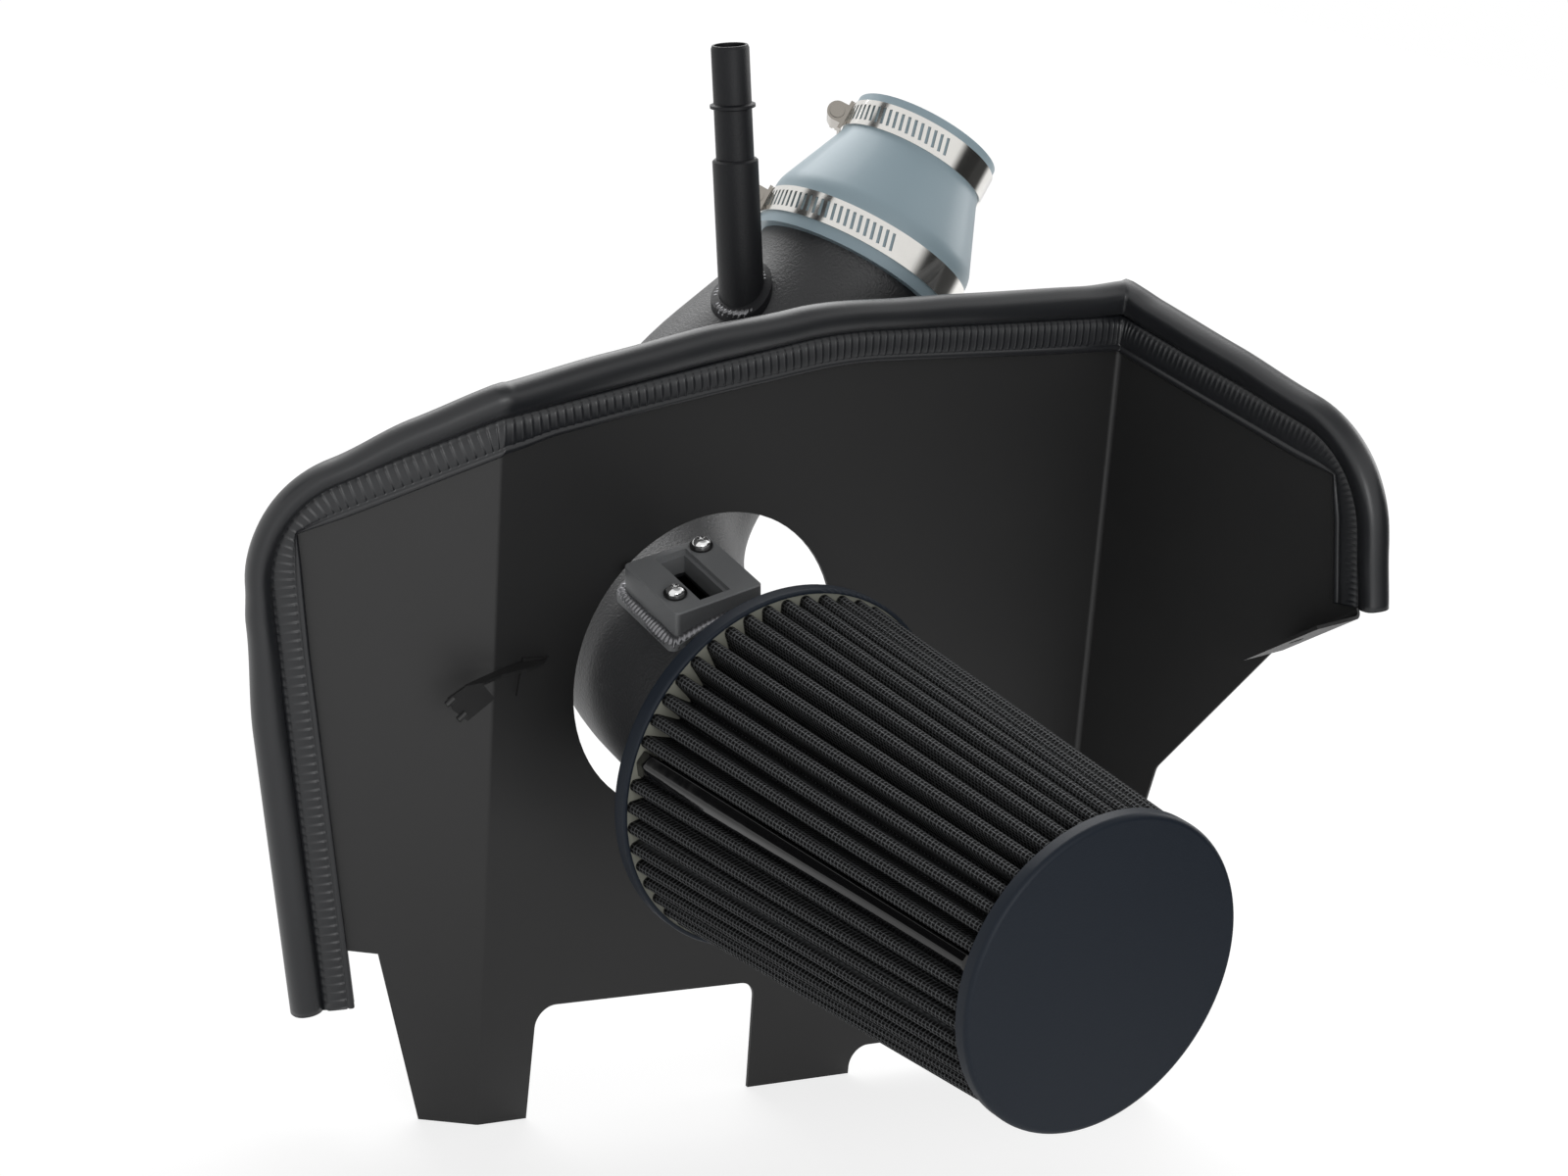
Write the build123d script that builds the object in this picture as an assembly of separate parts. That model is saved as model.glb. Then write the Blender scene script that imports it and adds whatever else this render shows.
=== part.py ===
from build123d import *
import os
from math import cos, pi, radians, sin, tan

os.makedirs("parts", exist_ok=True)

# Cold air intake: a conical pleated filter on the end of a bent metal tube, which passes through
# a folded heat shield with a rubber bulb seal, and ends in a reducing hose for the engine.
# While it is built, X runs along the shield's feet, Y goes from the filter towards the engine,
# Z is up, the floor is Z = 0, and the origin is the foot of the shield's left-hand fold.
# At the end everything is moved so that the origin is the middle of the model's footprint.
# All lengths are millimetres and all angles are degrees.

# Clearances
slide_gap = 0.1
weld_gap = 0.05

# Heat shield: folded steel sheet. Runs are level distances from a fold, heights are from the floor
sheet = 1.5
fold_radius = 2.5
fold_lean = 8.6
fold_spacing = 324.3
left_fold = 27.5
right_fold = 80.0
hole_radius = 66.0
hole_x = 74.9
hole_z = 203.7
foot_1_left = 25.0
foot_1_right = 24.5
foot_1_shoulder = 43.5
foot_2_start = 143.0
foot_2_width = 58.0
foot_3_start = 17.0
foot_3_width = 40.0
notch_height = 74.0
skirt_height = 52.3
low_skirt_height = 13.5
skirt_radius = 9.0
wing_waist = (39.0, 132.0)
wing_slope_start = (45.0, 161.0)
wing_foot_radius = 12.0
wing_waist_radius = 14.0
wing_slope_radius = 10.0
foot_3_shoulder = 66.0

# Edge that the seal follows, as runs and heights on each plate
left_edge_end = (-64.2, 47.0)
left_corner = (-92.4, 256.4)
left_corner_radius = 42.0
left_crossing = 307.0
main_corner = (165.0, 347.0)
main_corner_radius = 250.0
right_crossing = 359.0
right_corner = (132.2, 334.5)
right_corner_radius = 42.0
right_edge_end = (140.4, 271.0)

# Tab under the right wing, folded inwards for a body bolt
tab_start = (106.0, 241.0)
tab_end = (140.9, 267.0)
tab_width = 30.0
tab_fold = 86.0
tab_hole_radius = 3.3
tab_hole_setback = 11.0

# Rubber seal: a U-shaped grip on the sheet's edge and a hollow bulb outside it
grip_depth = 13.0
grip_half = 3.6
grip_crown = 2.4
bulb_radius = 6.8
bulb_wall = 1.9

# Intake tube: 3.5 inch bent aluminium, drawn as three legs and two bends
tube_radius = 44.45
tube_wall = 1.65
neck_x = 57.1
neck_y = -82.4
neck_z = 188.9
first_heading = 89.5
first_rise = 10.4
first_leg = 187.5
main_bend_radius = 126.0
middle_heading = -1.4
middle_rise = 40.7
middle_leg = 167.4
end_bend_radius = 93.0
end_heading = 12.9
end_rise = 60.6
end_leg = 38.0

# Sensor flange welded on the tube, with two screws
flange_station = 67.5
flange_lean = 19.6
flange_rise = 10.05
flange_long = 42.0
flange_wide = 40.0
flange_corner = 2.0
slot_long = 31.0
slot_wide = 11.0
slot_step = 1.6
slot_step_depth = 2.0
weld_size = 3.6
screw_radius = 2.0
screw_depth = 7.0
screw_1_along = 15.0
screw_1_across = 13.2
screw_2_along = -8.5
screw_2_across = -13.2
screw_head_radius = 3.7
screw_head_height = 3.0
washer_radius = 4.8
washer_thickness = 0.9

# Vent tube welded on the shoulder of the intake tube
vent_station = 125.0
vent_side = -17.0
vent_forward = -12.0
vent_lean_x = -0.21
vent_lean_y = 0.105
vent_height = 146.5
vent_bore = 6.9
vent_root_radius = 10.0
vent_radius = 8.3
vent_tip_radius = 8.3
vent_bead_radius = 9.9
vent_bead_width = 2.6
vent_middle_length = 23.0
vent_tip_length = 26.1

# Reducing hose on the end of the tube
hose_wall = 4.5
hose_overlap = 19.0
hose_shoulder = 5.0
hose_taper = 34.0
hose_small_bore = 30.5
hose_small_length = 18.0
hose_shoulder_radius = 16.0

# Worm-drive clamps
band = 0.8
band_width = 12.7
slot_pitch = 3.3
perforation_width = 1.4
perforation_length = 8.0
perforation_skew = 14.0
worm_radius = 3.4
worm_length = 13.5
saddle_wall = 1.3
saddle_length = 12.5
hex_size = 7.0
hex_length = 5.0
small_clamp_station = 46.7
small_clamp_turn = 43.0
small_clamp_slots = 120.0
large_clamp_station = -7.4
large_clamp_turn = 50.0
large_clamp_slots = 104.0
filter_clamp_station = 23.5
filter_clamp_turn = 200.0

# Cone filter
filter_yaw = 1.1
filter_droop = 0.6
filter_length = 197.5
base_radius = 76.2
base_thickness = 5.0
base_lip = 1.7
base_lip_depth = 2.4
neck_length = 31.0
neck_wall = 4.0
cap_radius = 61.6
cap_thickness = 6.0
cap_edge = 2.2
bond_thickness = 1.6
pleat_count = 50
pleat_root_margin = 2.0
pleat_tip_margin = 1.3
pleat_root_depth = 13.0
pleat_tip_depth = 10.5
media_inset = 3.4
cage_gap = 0.25
cage_wall = 0.8
cage_window_rows = 3
cage_windows = 8
strip_angle = 175.0
strip_share = 1.15
strip_ridge_inset = 0.9
strip_edge_inset = 3.2
strip_ridge_shift = 0.12
strip_thickness = 1.2

# Bracket that carries the tube behind the shield
bracket_x = 84.0
bracket_bolt_z = 111.0
bracket_width = 24.0
bracket_sheet = 2.5
bracket_reach = 30.0
bolt_radius = 3.0
bolt_head_radius = 5.6
bolt_head_height = 4.0
bolt_tail = 3.0
nut_height = 5.0

# Line clip spot-welded on the front of the shield: a tab, a sloping shelf and a hanging plate
clip_x = -12.2
clip_z = 201.0
clip_tab_wide = 12.4
clip_tab_high = 16.0
clip_sheet = 1.2
clip_slope = 7.8
clip_stand_off = 12.0
clip_shelf = [(-30.0, -5.5), (-46.0, -12.0), (-46.0, -13.2), (-38.0, -13.2), (-27.0, -9.0), (-14.0, -7.5), (-4.0, -4.0)]
clip_plate = [(-44.0, 203.2), (-52.0, 202.2), (-58.7, 197.6), (-55.3, 192.5), (-48.0, 188.0), (-37.0, 197.0)]
clip_ear_radius = 1.4
clip_ear_length = 4.0
clip_ears = [(-57.8, 196.4), (-51.2, 190.0)]


def direction(heading, rise):
    """Unit vector at a heading in the floor plane and a rise above it."""
    flat = cos(radians(rise))
    return Vector(flat * cos(radians(heading)), flat * sin(radians(heading)), sin(radians(rise)))


def line_at(start, end, run):
    """Height at a run on the straight line through two (run, height) points."""
    slope = (end[1] - start[1]) / (end[0] - start[0])
    return start[1] + slope * (run - start[0])


# Shield. The two folds are parallel and lean together
lean = tan(radians(fold_lean))
fold_line = Vector(-sin(radians(fold_lean)), 0, cos(radians(fold_lean)))
fold_overlap = 3.0
slab = 5.0
blank_tip = 190.0
blank_drop = 100.0
blank_length = 520.0


class Plate:
    """One flat stretch of the shield, with points given as a level run and a height."""

    def __init__(self, foot_x, turn):
        self.foot = Vector(foot_x, 0, 0)
        self.level = Vector(cos(radians(turn)), -sin(radians(turn)), 0)
        self.front = self.level.cross(fold_line).normalized()

    def at(self, run, height, front=0.0):
        """Point at a level run from the fold, a height, and a distance in front of the sheet."""
        fold_point = self.foot + Vector(-height * lean, 0, height)
        return fold_point + self.level * run + self.front * front

    def cutter(self, corners, radii):
        """Thin prism normal to the plate, from an outline of runs and heights."""
        points = [self.at(run, height, -slab) for run, height in corners]
        outline = FilletPolyline(*points, radius=radii, close=True)
        return extrude(Face(Wire(outline.edges())), amount=2 * slab, dir=self.front)


left_plate = Plate(0, left_fold)
main_plate = Plate(0, 0)
right_plate = Plate(fold_spacing, right_fold)


def folded_blank():
    """The folded sheet before its outline is cut: one bent section carried along the folds."""
    section = Plane(origin=(0, 0, 0), x_dir=(cos(radians(fold_lean)), 0, sin(radians(fold_lean))), z_dir=fold_line)
    first = Vector(0, 0, 0)
    second = Vector(fold_spacing * cos(radians(fold_lean)), 0, 0)
    left_tip = section.to_local_coords(left_plate.level * -blank_tip)
    right_tip = section.to_local_coords(right_plate.level * blank_tip)
    left_tip = Vector(left_tip.X, left_tip.Y, 0)
    right_tip = second + Vector(right_tip.X, right_tip.Y, 0)
    front = FilletPolyline(left_tip, first, second, right_tip, radius=[fold_radius + sheet, fold_radius])
    strip = offset(Wire(front.edges()), amount=sheet, side=Side.LEFT, closed=True)
    blank = extrude(section.location * Face(Wire(strip.edges())), amount=blank_length, dir=fold_line)
    return Pos(fold_line * -blank_drop) * blank


def edge_run(height):
    """Run of the left wing's free edge at a height."""
    start, end = left_edge_end, left_corner
    return start[0] + (end[0] - start[0]) * (height - start[1]) / (end[1] - start[1])


def shield():
    """Folded heat shield with its feet, tube hole and bolt tab."""
    left_top = line_at(left_corner, (0.0, left_crossing), fold_overlap)
    left = left_plate.cutter(
        [
            (fold_overlap, 0.0),
            (-foot_1_left, 0.0),
            (-foot_1_shoulder, notch_height),
            (edge_run(notch_height), notch_height),
            left_corner,
            (fold_overlap, left_top),
        ],
        [0, 0, 0, 0, left_corner_radius, 0],
    )
    foot_2_end = foot_2_start + foot_2_width
    main_end = fold_spacing + fold_overlap
    main_left_top = line_at((0.0, left_crossing), main_corner, -fold_overlap)
    main_right_top = line_at(main_corner, (fold_spacing, right_crossing), main_end)
    main = main_plate.cutter(
        [
            (-fold_overlap, 0.0),
            (foot_1_right, 0.0),
            (foot_1_right + fold_overlap, skirt_height),
            (foot_2_start, skirt_height),
            (foot_2_start, 0.0),
            (foot_2_end, 0.0),
            (foot_2_end, low_skirt_height),
            (main_end, low_skirt_height),
            (main_end, main_right_top),
            main_corner,
            (-fold_overlap, main_left_top),
        ],
        [0, 0, skirt_radius, skirt_radius, 0, 0, skirt_radius, 0, 0, main_corner_radius, 0],
    )
    foot_3_end = foot_3_start + foot_3_width
    tab_setback = fold_radius + sheet
    right_top = line_at((0.0, right_crossing), right_corner, -fold_overlap)
    right = right_plate.cutter(
        [
            (-fold_overlap, low_skirt_height),
            (foot_3_start, low_skirt_height),
            (foot_3_start, 0.0),
            (foot_3_end, 0.0),
            (foot_3_end, foot_3_shoulder),
            wing_waist,
            wing_slope_start,
            (tab_start[0], tab_start[1] + tab_setback),
            (tab_end[0], tab_end[1] + tab_setback),
            right_corner,
            (-fold_overlap, right_top),
        ],
        [0, 0, 0, 0, wing_foot_radius, wing_waist_radius, wing_slope_radius, 0, 0, right_corner_radius, 0],
    )
    blank = folded_blank()
    sheet_body = (blank & left) + (blank & main) + (blank & right) + tab()
    hole = Pos(hole_x, 0, hole_z) * Rot(90, 0, 0) * Cylinder(hole_radius, 4 * slab)
    return sheet_body - hole


def tab():
    """Bolt tab: the wing's sloping lower edge folded inwards."""
    start = right_plate.at(*tab_start)
    end = right_plate.at(*tab_end)
    along = (end - start).normalized()
    section = Plane(origin=start, x_dir=right_plate.front, z_dir=along)
    rise = 2 * (fold_radius + sheet) + 1.0
    upward = 1 if section.y_dir.Z > 0 else -1
    lift = tab_width * cos(radians(tab_fold))
    points = [(0, upward * rise), (0, 0), (tab_width, upward * lift)]
    front = FilletPolyline(*points, radius=[fold_radius])
    side = Side.RIGHT if upward > 0 else Side.LEFT
    outline = offset(Wire(front.edges()), amount=sheet, side=side, closed=True)
    length = (end - start).length
    bent = extrude(section.location * Face(Wire(outline.edges())), amount=length, dir=along)
    hole_at = start + along * (length / 2) + right_plate.front * (tab_width - tab_hole_setback)
    hole = Plane(origin=hole_at, z_dir=section.y_dir).location * Cylinder(tab_hole_radius, 4 * slab)
    return bent - hole


def fold_cut(body, foot_x, plate_a, plate_b, keep):
    """Mitre a body at the plane that halves the fold between two plates."""
    across = plate_a.level + plate_b.level
    normal = (across - fold_line * across.dot(fold_line)).normalized()
    return split(body, bisect_by=Plane(origin=(foot_x, 0, 0), z_dir=normal), keep=keep)


def seal_run(plate, corners, radii):
    """Grip and bulb carried along one plate's edge, and the slot that the sheet fills."""
    middle = -sheet / 2
    points = [plate.at(run, height, middle) for run, height in corners]
    path = Wire(FilletPolyline(*points, radius=radii).edges())
    tangent = (points[1] - points[0]).normalized()
    outward = tangent.cross(plate.front).normalized() * -1
    section = Plane(origin=points[0], x_dir=outward, z_dir=tangent)
    depth = grip_depth + grip_crown
    grip = Pos(grip_crown - depth / 2, 0) * RectangleRounded(depth, 2 * grip_half, 1.2)
    bulb_centre = Pos(grip_crown + bulb_radius - bulb_wall / 2, 0)
    outer = grip + bulb_centre * Circle(bulb_radius)
    whole = outer - bulb_centre * Circle(bulb_radius - bulb_wall)
    slot = Pos(slide_gap - depth, 0) * Rectangle(2 * depth, sheet + 2 * slide_gap)
    body = sweep(section.location * whole.face(), path=path)
    channel = sweep(section.location * slot.face(), path=path)
    return body - channel


def seal(shield_body):
    """Edge seal: three runs, mitred at the folds and joined."""
    extra = 16.0
    left_top = line_at(left_corner, (0.0, left_crossing), extra)
    left = seal_run(left_plate, [left_edge_end, left_corner, (extra, left_top)], [left_corner_radius])
    left = fold_cut(left, 0, left_plate, main_plate, Keep.BOTTOM)
    main_left = (-extra, line_at((0.0, left_crossing), main_corner, -extra))
    right_run = fold_spacing + extra
    main_right = (right_run, line_at(main_corner, (fold_spacing, right_crossing), right_run))
    main = seal_run(main_plate, [main_left, main_corner, main_right], [main_corner_radius])
    main = fold_cut(main, 0, left_plate, main_plate, Keep.TOP)
    main = fold_cut(main, fold_spacing, main_plate, right_plate, Keep.BOTTOM)
    right_left = (-extra, line_at((0.0, right_crossing), right_corner, -extra))
    right = seal_run(right_plate, [right_left, right_corner, right_edge_end], [right_corner_radius])
    right = fold_cut(right, fold_spacing, main_plate, right_plate, Keep.TOP)
    return left + main + right - shield_body


# Intake tube
neck = Vector(neck_x, neck_y, neck_z)
first_way = direction(first_heading, first_rise)
middle_way = direction(middle_heading, middle_rise)
end_way = direction(end_heading, end_rise)
first_bend = neck + first_way * first_leg
second_bend = first_bend + middle_way * middle_leg
tube_end = second_bend + end_way * end_leg
tube_path = Wire(
    FilletPolyline(neck, first_bend, second_bend, tube_end, radius=[main_bend_radius, end_bend_radius]).edges()
)


def tube_core(radius):
    """Solid rod of a radius along the tube's centre line."""
    start = Plane(origin=neck, z_dir=first_way)
    return sweep(start.location * Circle(radius).face(), path=tube_path)


# Sensor flange frame: X along the tube, Y across it, Z outwards
flange_top = tube_radius + flange_rise
flange_up = (Vector(0, 0, 1) - first_way * first_way.Z).normalized()
flange_side = first_way.cross(flange_up)
flange_out = flange_up * cos(radians(flange_lean)) - flange_side * sin(radians(flange_lean))
flange_frame = Plane(origin=neck + first_way * flange_station, x_dir=first_way, z_dir=flange_out)
screw_places = [(screw_1_along, -screw_1_across), (screw_2_along, -screw_2_across)]


def on_flange(x, y, z):
    """Location in the sensor flange's frame."""
    return flange_frame.location * Location((x, y, z))


def slot_cutter():
    """Through slot for the sensor, with its shallow step."""
    through = on_flange(0, 0, flange_top) * Box(slot_long, slot_wide, tube_radius)
    step = on_flange(0, 0, flange_top) * Box(slot_long + 2 * slot_step, slot_wide + 2 * slot_step, 2 * slot_step_depth)
    return through + step


def sensor_flange():
    """Machined block on a saddle cut, with its weld."""
    low = tube_radius * 0.7
    height = flange_top - low
    block = extrude(on_flange(0, 0, low) * RectangleRounded(flange_long, flange_wide, flange_corner), amount=height)
    block = chamfer(block.faces().sort_by(Axis(flange_frame.origin, flange_out))[-1].edges(), 0.5)
    weld_outline = RectangleRounded(flange_long + 2 * weld_size, flange_wide + 2 * weld_size, flange_corner + weld_size)
    weld = extrude(on_flange(0, 0, low) * weld_outline, amount=height)
    weld = weld & tube_core(tube_radius + weld_size * 0.7)
    body = block + weld - tube_core(tube_radius + weld_gap)
    for x, y in screw_places:
        body = body - on_flange(x, y, flange_top) * Cylinder(screw_radius + weld_gap, 2 * (screw_depth + 1))
    return body - slot_cutter()


def sensor_screw(x, y):
    """Pan-head screw with its shank in the flange."""
    seat = flange_top + washer_thickness
    profile = Polyline(
        (0, -screw_depth - washer_thickness),
        (screw_radius, -screw_depth - washer_thickness),
        (screw_radius, 0),
        (screw_head_radius, 0),
        (screw_head_radius, screw_head_height * 0.4),
    )
    dome = ThreePointArc(
        (screw_head_radius, screw_head_height * 0.4),
        (screw_head_radius * 0.7, screw_head_height * 0.85),
        (0, screw_head_height),
    )
    closing = Line((0, screw_head_height), (0, -screw_depth - washer_thickness))
    turned = revolve(Plane.XZ * Face(Wire(profile.edges() + dome.edges() + closing.edges())), Axis.Z)
    drive = Pos(0, 0, screw_head_height) * (Box(0.9, 3.6, 2.4) + Box(3.6, 0.9, 2.4))
    return on_flange(x, y, seat) * (turned - drive)


def sensor_washer(x, y):
    """Flat washer under a sensor screw."""
    ring = Circle(washer_radius) - Circle(screw_radius + slide_gap)
    return on_flange(x, y, flange_top) * extrude(ring, amount=washer_thickness)


# Vent tube
vent_way = Vector(vent_lean_x, vent_lean_y, 1).normalized()
vent_foot = first_bend + middle_way * vent_station + Vector(vent_side, vent_forward, 0)
vent_frame = Plane(origin=vent_foot, x_dir=(0, 1, 0), z_dir=vent_way)
vent_bead_at = vent_height - vent_tip_length
vent_step_at = vent_bead_at - vent_middle_length


def vent_tube(tube_rod):
    """Stepped tube with a hose bead, cut to the intake tube and welded round its foot."""
    tip_round = vent_tip_radius - vent_bore
    outline = [
        (vent_bore, 0),
        (vent_root_radius, 0),
        (vent_root_radius, vent_step_at - 0.8),
        (vent_root_radius - 0.8, vent_step_at),
        (vent_radius, vent_step_at),
        (vent_radius, vent_bead_at - vent_bead_width / 2),
        (vent_bead_radius, vent_bead_at - vent_bead_width / 4),
        (vent_bead_radius, vent_bead_at + vent_bead_width / 4),
        (vent_tip_radius, vent_bead_at + vent_bead_width / 2),
        (vent_tip_radius, vent_height - tip_round),
        (vent_tip_radius - tip_round * 0.4, vent_height),
        (vent_bore, vent_height),
    ]
    shape = revolve(Plane.XZ * Face(Wire(Polyline(*outline, close=True).edges())), Axis.Z)
    body = vent_frame.location * shape
    collar = vent_frame.location * (Pos(0, 0, vent_height / 4) * Cylinder(vent_root_radius + weld_size, vent_height / 2))
    bead = collar & tube_core(tube_radius + weld_size * 0.8)
    bead = bead - vent_frame.location * Cylinder(vent_root_radius - 0.5, 2 * vent_height)
    return body + bead - tube_rod


# Reducing hose frame: Z along the hose from the tube's end
hose_frame = Plane(origin=tube_end, x_dir=(0, 1, 0), z_dir=end_way)
hose_radius = tube_radius + hose_wall
hose_small_radius = hose_small_bore + hose_wall
hose_neck_at = hose_shoulder + hose_taper
hose_end_at = hose_neck_at + hose_small_length


def reducer_hose():
    """Moulded reducing hose, with round shoulders inside and out."""
    outer = FilletPolyline(
        (hose_radius, -hose_overlap),
        (hose_radius, hose_shoulder),
        (hose_small_radius, hose_neck_at),
        (hose_small_radius, hose_end_at),
        radius=[hose_shoulder_radius, hose_shoulder_radius - hose_wall],
    )
    inner = FilletPolyline(
        (tube_radius + slide_gap, -hose_overlap),
        (tube_radius + slide_gap, slide_gap),
        (tube_radius + slide_gap - tube_wall, slide_gap),
        (hose_small_bore, hose_neck_at),
        (hose_small_bore, hose_end_at),
        radius=[0, 0, hose_shoulder_radius],
    )
    bottom = Line((tube_radius + slide_gap, -hose_overlap), (hose_radius, -hose_overlap))
    top = Line((hose_small_bore, hose_end_at), (hose_small_radius, hose_end_at))
    section = Face(Wire(outer.edges() + inner.edges() + bottom.edges() + top.edges()))
    return hose_frame.location * revolve(Plane.XZ * section, Axis.Z)


def band_ring(radius, last_slot):
    """Steel band on a hose of a radius, slotted from its saddle to an angle from the saddle."""
    inner = radius + slide_gap
    outer = inner + band
    ring = extrude(Circle(outer) - Circle(inner), amount=band_width / 2, both=True)
    step = slot_pitch / outer * 180 / pi
    first_slot = (saddle_length / 2 + slot_pitch / 2) / outer * 180 / pi
    count = int((last_slot - first_slot) / step)
    slot = Pos(outer, 0, 0) * Rot(perforation_skew, 0, 0) * Box(3 * band, perforation_width, perforation_length)
    slots = [Rot(0, 0, first_slot + step * i) * slot for i in range(count)]
    return ring - slots


def worm_saddle(radius):
    """Pressed housing that holds the worm screw across the band."""
    floor = radius + slide_gap + band
    centre = floor + saddle_wall + worm_radius
    outer_radius = worm_radius + saddle_wall
    arch = Pos(centre, 0) * Circle(outer_radius)
    base = Pos((floor + centre) / 2 - 0.5, 0) * Rectangle(centre - floor + 1.0, 2 * outer_radius)
    ears = Pos(floor + 0.3, 0) * Rectangle(1.8, band_width + 1.6)
    section = arch + base + ears
    body = extrude(Plane.XZ * section, amount=saddle_length / 2, both=True)
    bore = Pos(centre, 0, 0) * Rot(90, 0, 0) * Cylinder(worm_radius + slide_gap, 2 * saddle_length)
    return body - bore - Cylinder(floor + weld_gap, 4 * band_width)


def worm_screw(radius):
    """Worm with its hexagon head and screwdriver slot."""
    centre = radius + slide_gap + band + saddle_wall + worm_radius
    lie = Pos(centre, 0, 0) * Rot(90, 0, 0)
    shank = lie * Cylinder(worm_radius, worm_length)
    head_at = worm_length / 2
    head = lie * (Pos(0, 0, head_at) * extrude(RegularPolygon(hex_size / 2, 6, major_radius=False), amount=hex_length))
    flange = lie * (Pos(0, 0, head_at) * Cylinder(worm_radius + 0.9, 1.0))
    slot = lie * (Pos(0, 0, head_at + hex_length) * Box(1.1, 12, 3.0))
    return shank + head + flange - slot


def clamp(name, frame, radius, turn, last_slot):
    """Band, saddle and screw of one worm-drive clamp, turned about the hose."""
    place = frame.location * Rot(0, 0, turn)
    return {
        name + "_band": place * band_ring(radius, last_slot),
        name + "_saddle": place * worm_saddle(radius),
        name + "_screw": place * worm_screw(radius),
    }


# Cone filter frame: Z from the base towards the cap
filter_way = Vector(-sin(radians(filter_yaw)), -1, -sin(radians(filter_droop))).normalized()
filter_frame = Plane(origin=neck, x_dir=Vector(1, 0, 0) - filter_way * filter_way.X, z_dir=filter_way)
cap_back = filter_length - cap_thickness
lip_radius = base_radius - base_lip
pleat_root_radius = base_radius - pleat_root_margin
pleat_tip_radius = cap_radius - pleat_tip_margin
cage_root = pleat_root_radius - pleat_root_depth - media_inset - cage_gap
cage_tip = pleat_tip_radius - pleat_tip_depth - media_inset - cage_gap


def along_neck(distance):
    """Plane across the tube's axis behind the filter's base."""
    return Plane(origin=neck + first_way * distance, x_dir=(0, 0, 1), z_dir=first_way)


def filter_base():
    """Moulded base: a disc with a lip for the pleats and a neck that slides on the tube."""
    disc = Pos(0, 0, -base_thickness / 2) * Cylinder(base_radius, base_thickness)
    disc = fillet(disc.edges().group_by(Axis.Z)[0], 1.5)
    lip = extrude(Circle(base_radius) - Circle(lip_radius), amount=base_lip_depth)
    lip = fillet(lip.edges().group_by(Axis.Z)[-1].sort_by(SortBy.LENGTH)[-1], 1.2)
    sleeve_length = base_thickness + neck_length
    sleeve = along_neck(sleeve_length / 2 + 1).location * Cylinder(tube_radius + neck_wall, sleeve_length - 2)
    end_bead = along_neck(sleeve_length - 1.5).location * Cylinder(tube_radius + neck_wall + 1.2, 3.0)
    bore = along_neck(0).location * Cylinder(tube_radius + slide_gap, 4 * sleeve_length)
    front_trim = filter_frame.location * (Pos(0, 0, base_thickness) * Cylinder(base_radius, 2 * base_thickness))
    neck_tube = (sleeve + end_bead) - front_trim
    return filter_frame.location * (disc + lip) + neck_tube - bore


def star(outer_radius, depth, inset, height):
    """Closed pleat outline at a height: round crests, steep flanks and narrow valleys."""
    pitch = 2 * pi / pleat_count
    crest = outer_radius - inset * 0.5
    shoulder = crest - 1.5
    valley = outer_radius - depth - inset
    crest_half = (0.27 - 0.03 * inset) * pitch
    valley_half = (0.06 + 0.035 * inset) * pitch
    turn = radians(strip_angle)
    edges = []

    def point(radius, angle):
        """Point at a radius and an angle from the label strip."""
        return Vector(radius * cos(angle + turn), radius * sin(angle + turn), height)

    for i in range(1, pleat_count):
        middle = i * pitch
        left = point(shoulder, middle - crest_half)
        right = point(shoulder, middle + crest_half)
        down = point(valley, middle + pitch / 2 - valley_half)
        last = i == pleat_count - 1
        next_middle = middle + (2 if last else 1) * pitch
        across = point(valley, next_middle - pitch / 2 + valley_half)
        up = point(shoulder, next_middle - crest_half)
        edges += [
            Edge.make_three_point_arc(left, point(crest, middle), right),
            Edge.make_line(right, down),
            Edge.make_line(down, across),
            Edge.make_line(across, up),
        ]
    return Wire(edges)


def filter_media():
    """Folded filter medium, ruled from the base's pleats to the cap's."""
    skins = []
    for inset in (0.0, media_inset):
        root = star(pleat_root_radius, pleat_root_depth, inset, bond_thickness)
        tip = star(pleat_tip_radius, pleat_tip_depth, inset, cap_back)
        skins.append(Solid.make_loft([root, tip], ruled=True))
    return filter_frame.location * (skins[0] - skins[1])


def cone_shell(root_radius, tip_radius, wall):
    """Plain conical shell from the bond ring to the cap."""
    section = Polyline(
        (root_radius - wall, bond_thickness),
        (root_radius, bond_thickness),
        (tip_radius, cap_back),
        (tip_radius - wall, cap_back),
        close=True,
    )
    return revolve(Plane.XZ * Face(Wire(section.edges())), Axis.Z)


def filter_cage():
    """Inner cage that keeps the pleats open, with rows of windows."""
    shell = cone_shell(cage_root, cage_tip, cage_wall)
    bay = (cap_back - bond_thickness) / cage_window_rows
    width = cage_tip * 2 * pi / cage_windows * 0.62
    windows = []
    for row in range(cage_window_rows):
        height = bond_thickness + bay * (row + 0.5)
        for i in range(cage_windows):
            window = Pos(cage_root, 0, height) * Box(cage_root, width, bay * 0.72)
            windows.append(Rot(0, 0, 360 / cage_windows * i) * window)
    return filter_frame.location * (shell - windows)


def label_strip():
    """Strip folded over one pleat's place, two slopes with a ridge, from the bond ring to the cap."""
    spots = []
    for radius, height in ((pleat_root_radius, bond_thickness), (pleat_tip_radius, cap_back)):
        half = radius * pi / pleat_count * strip_share
        ridge = radius - strip_ridge_inset
        edge = radius - strip_edge_inset
        side = -strip_ridge_shift * half
        upper = [(edge, -half), (ridge, side), (edge, half)]
        lower = [(x - strip_thickness, y) for x, y in reversed(upper)]
        spots.append(Wire(Polyline(*[(x, y, height) for x, y in upper + lower], close=True).edges()))
    strip = Solid.make_loft(spots, ruled=True)
    return filter_frame.location * Rot(0, 0, strip_angle) * strip


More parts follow.
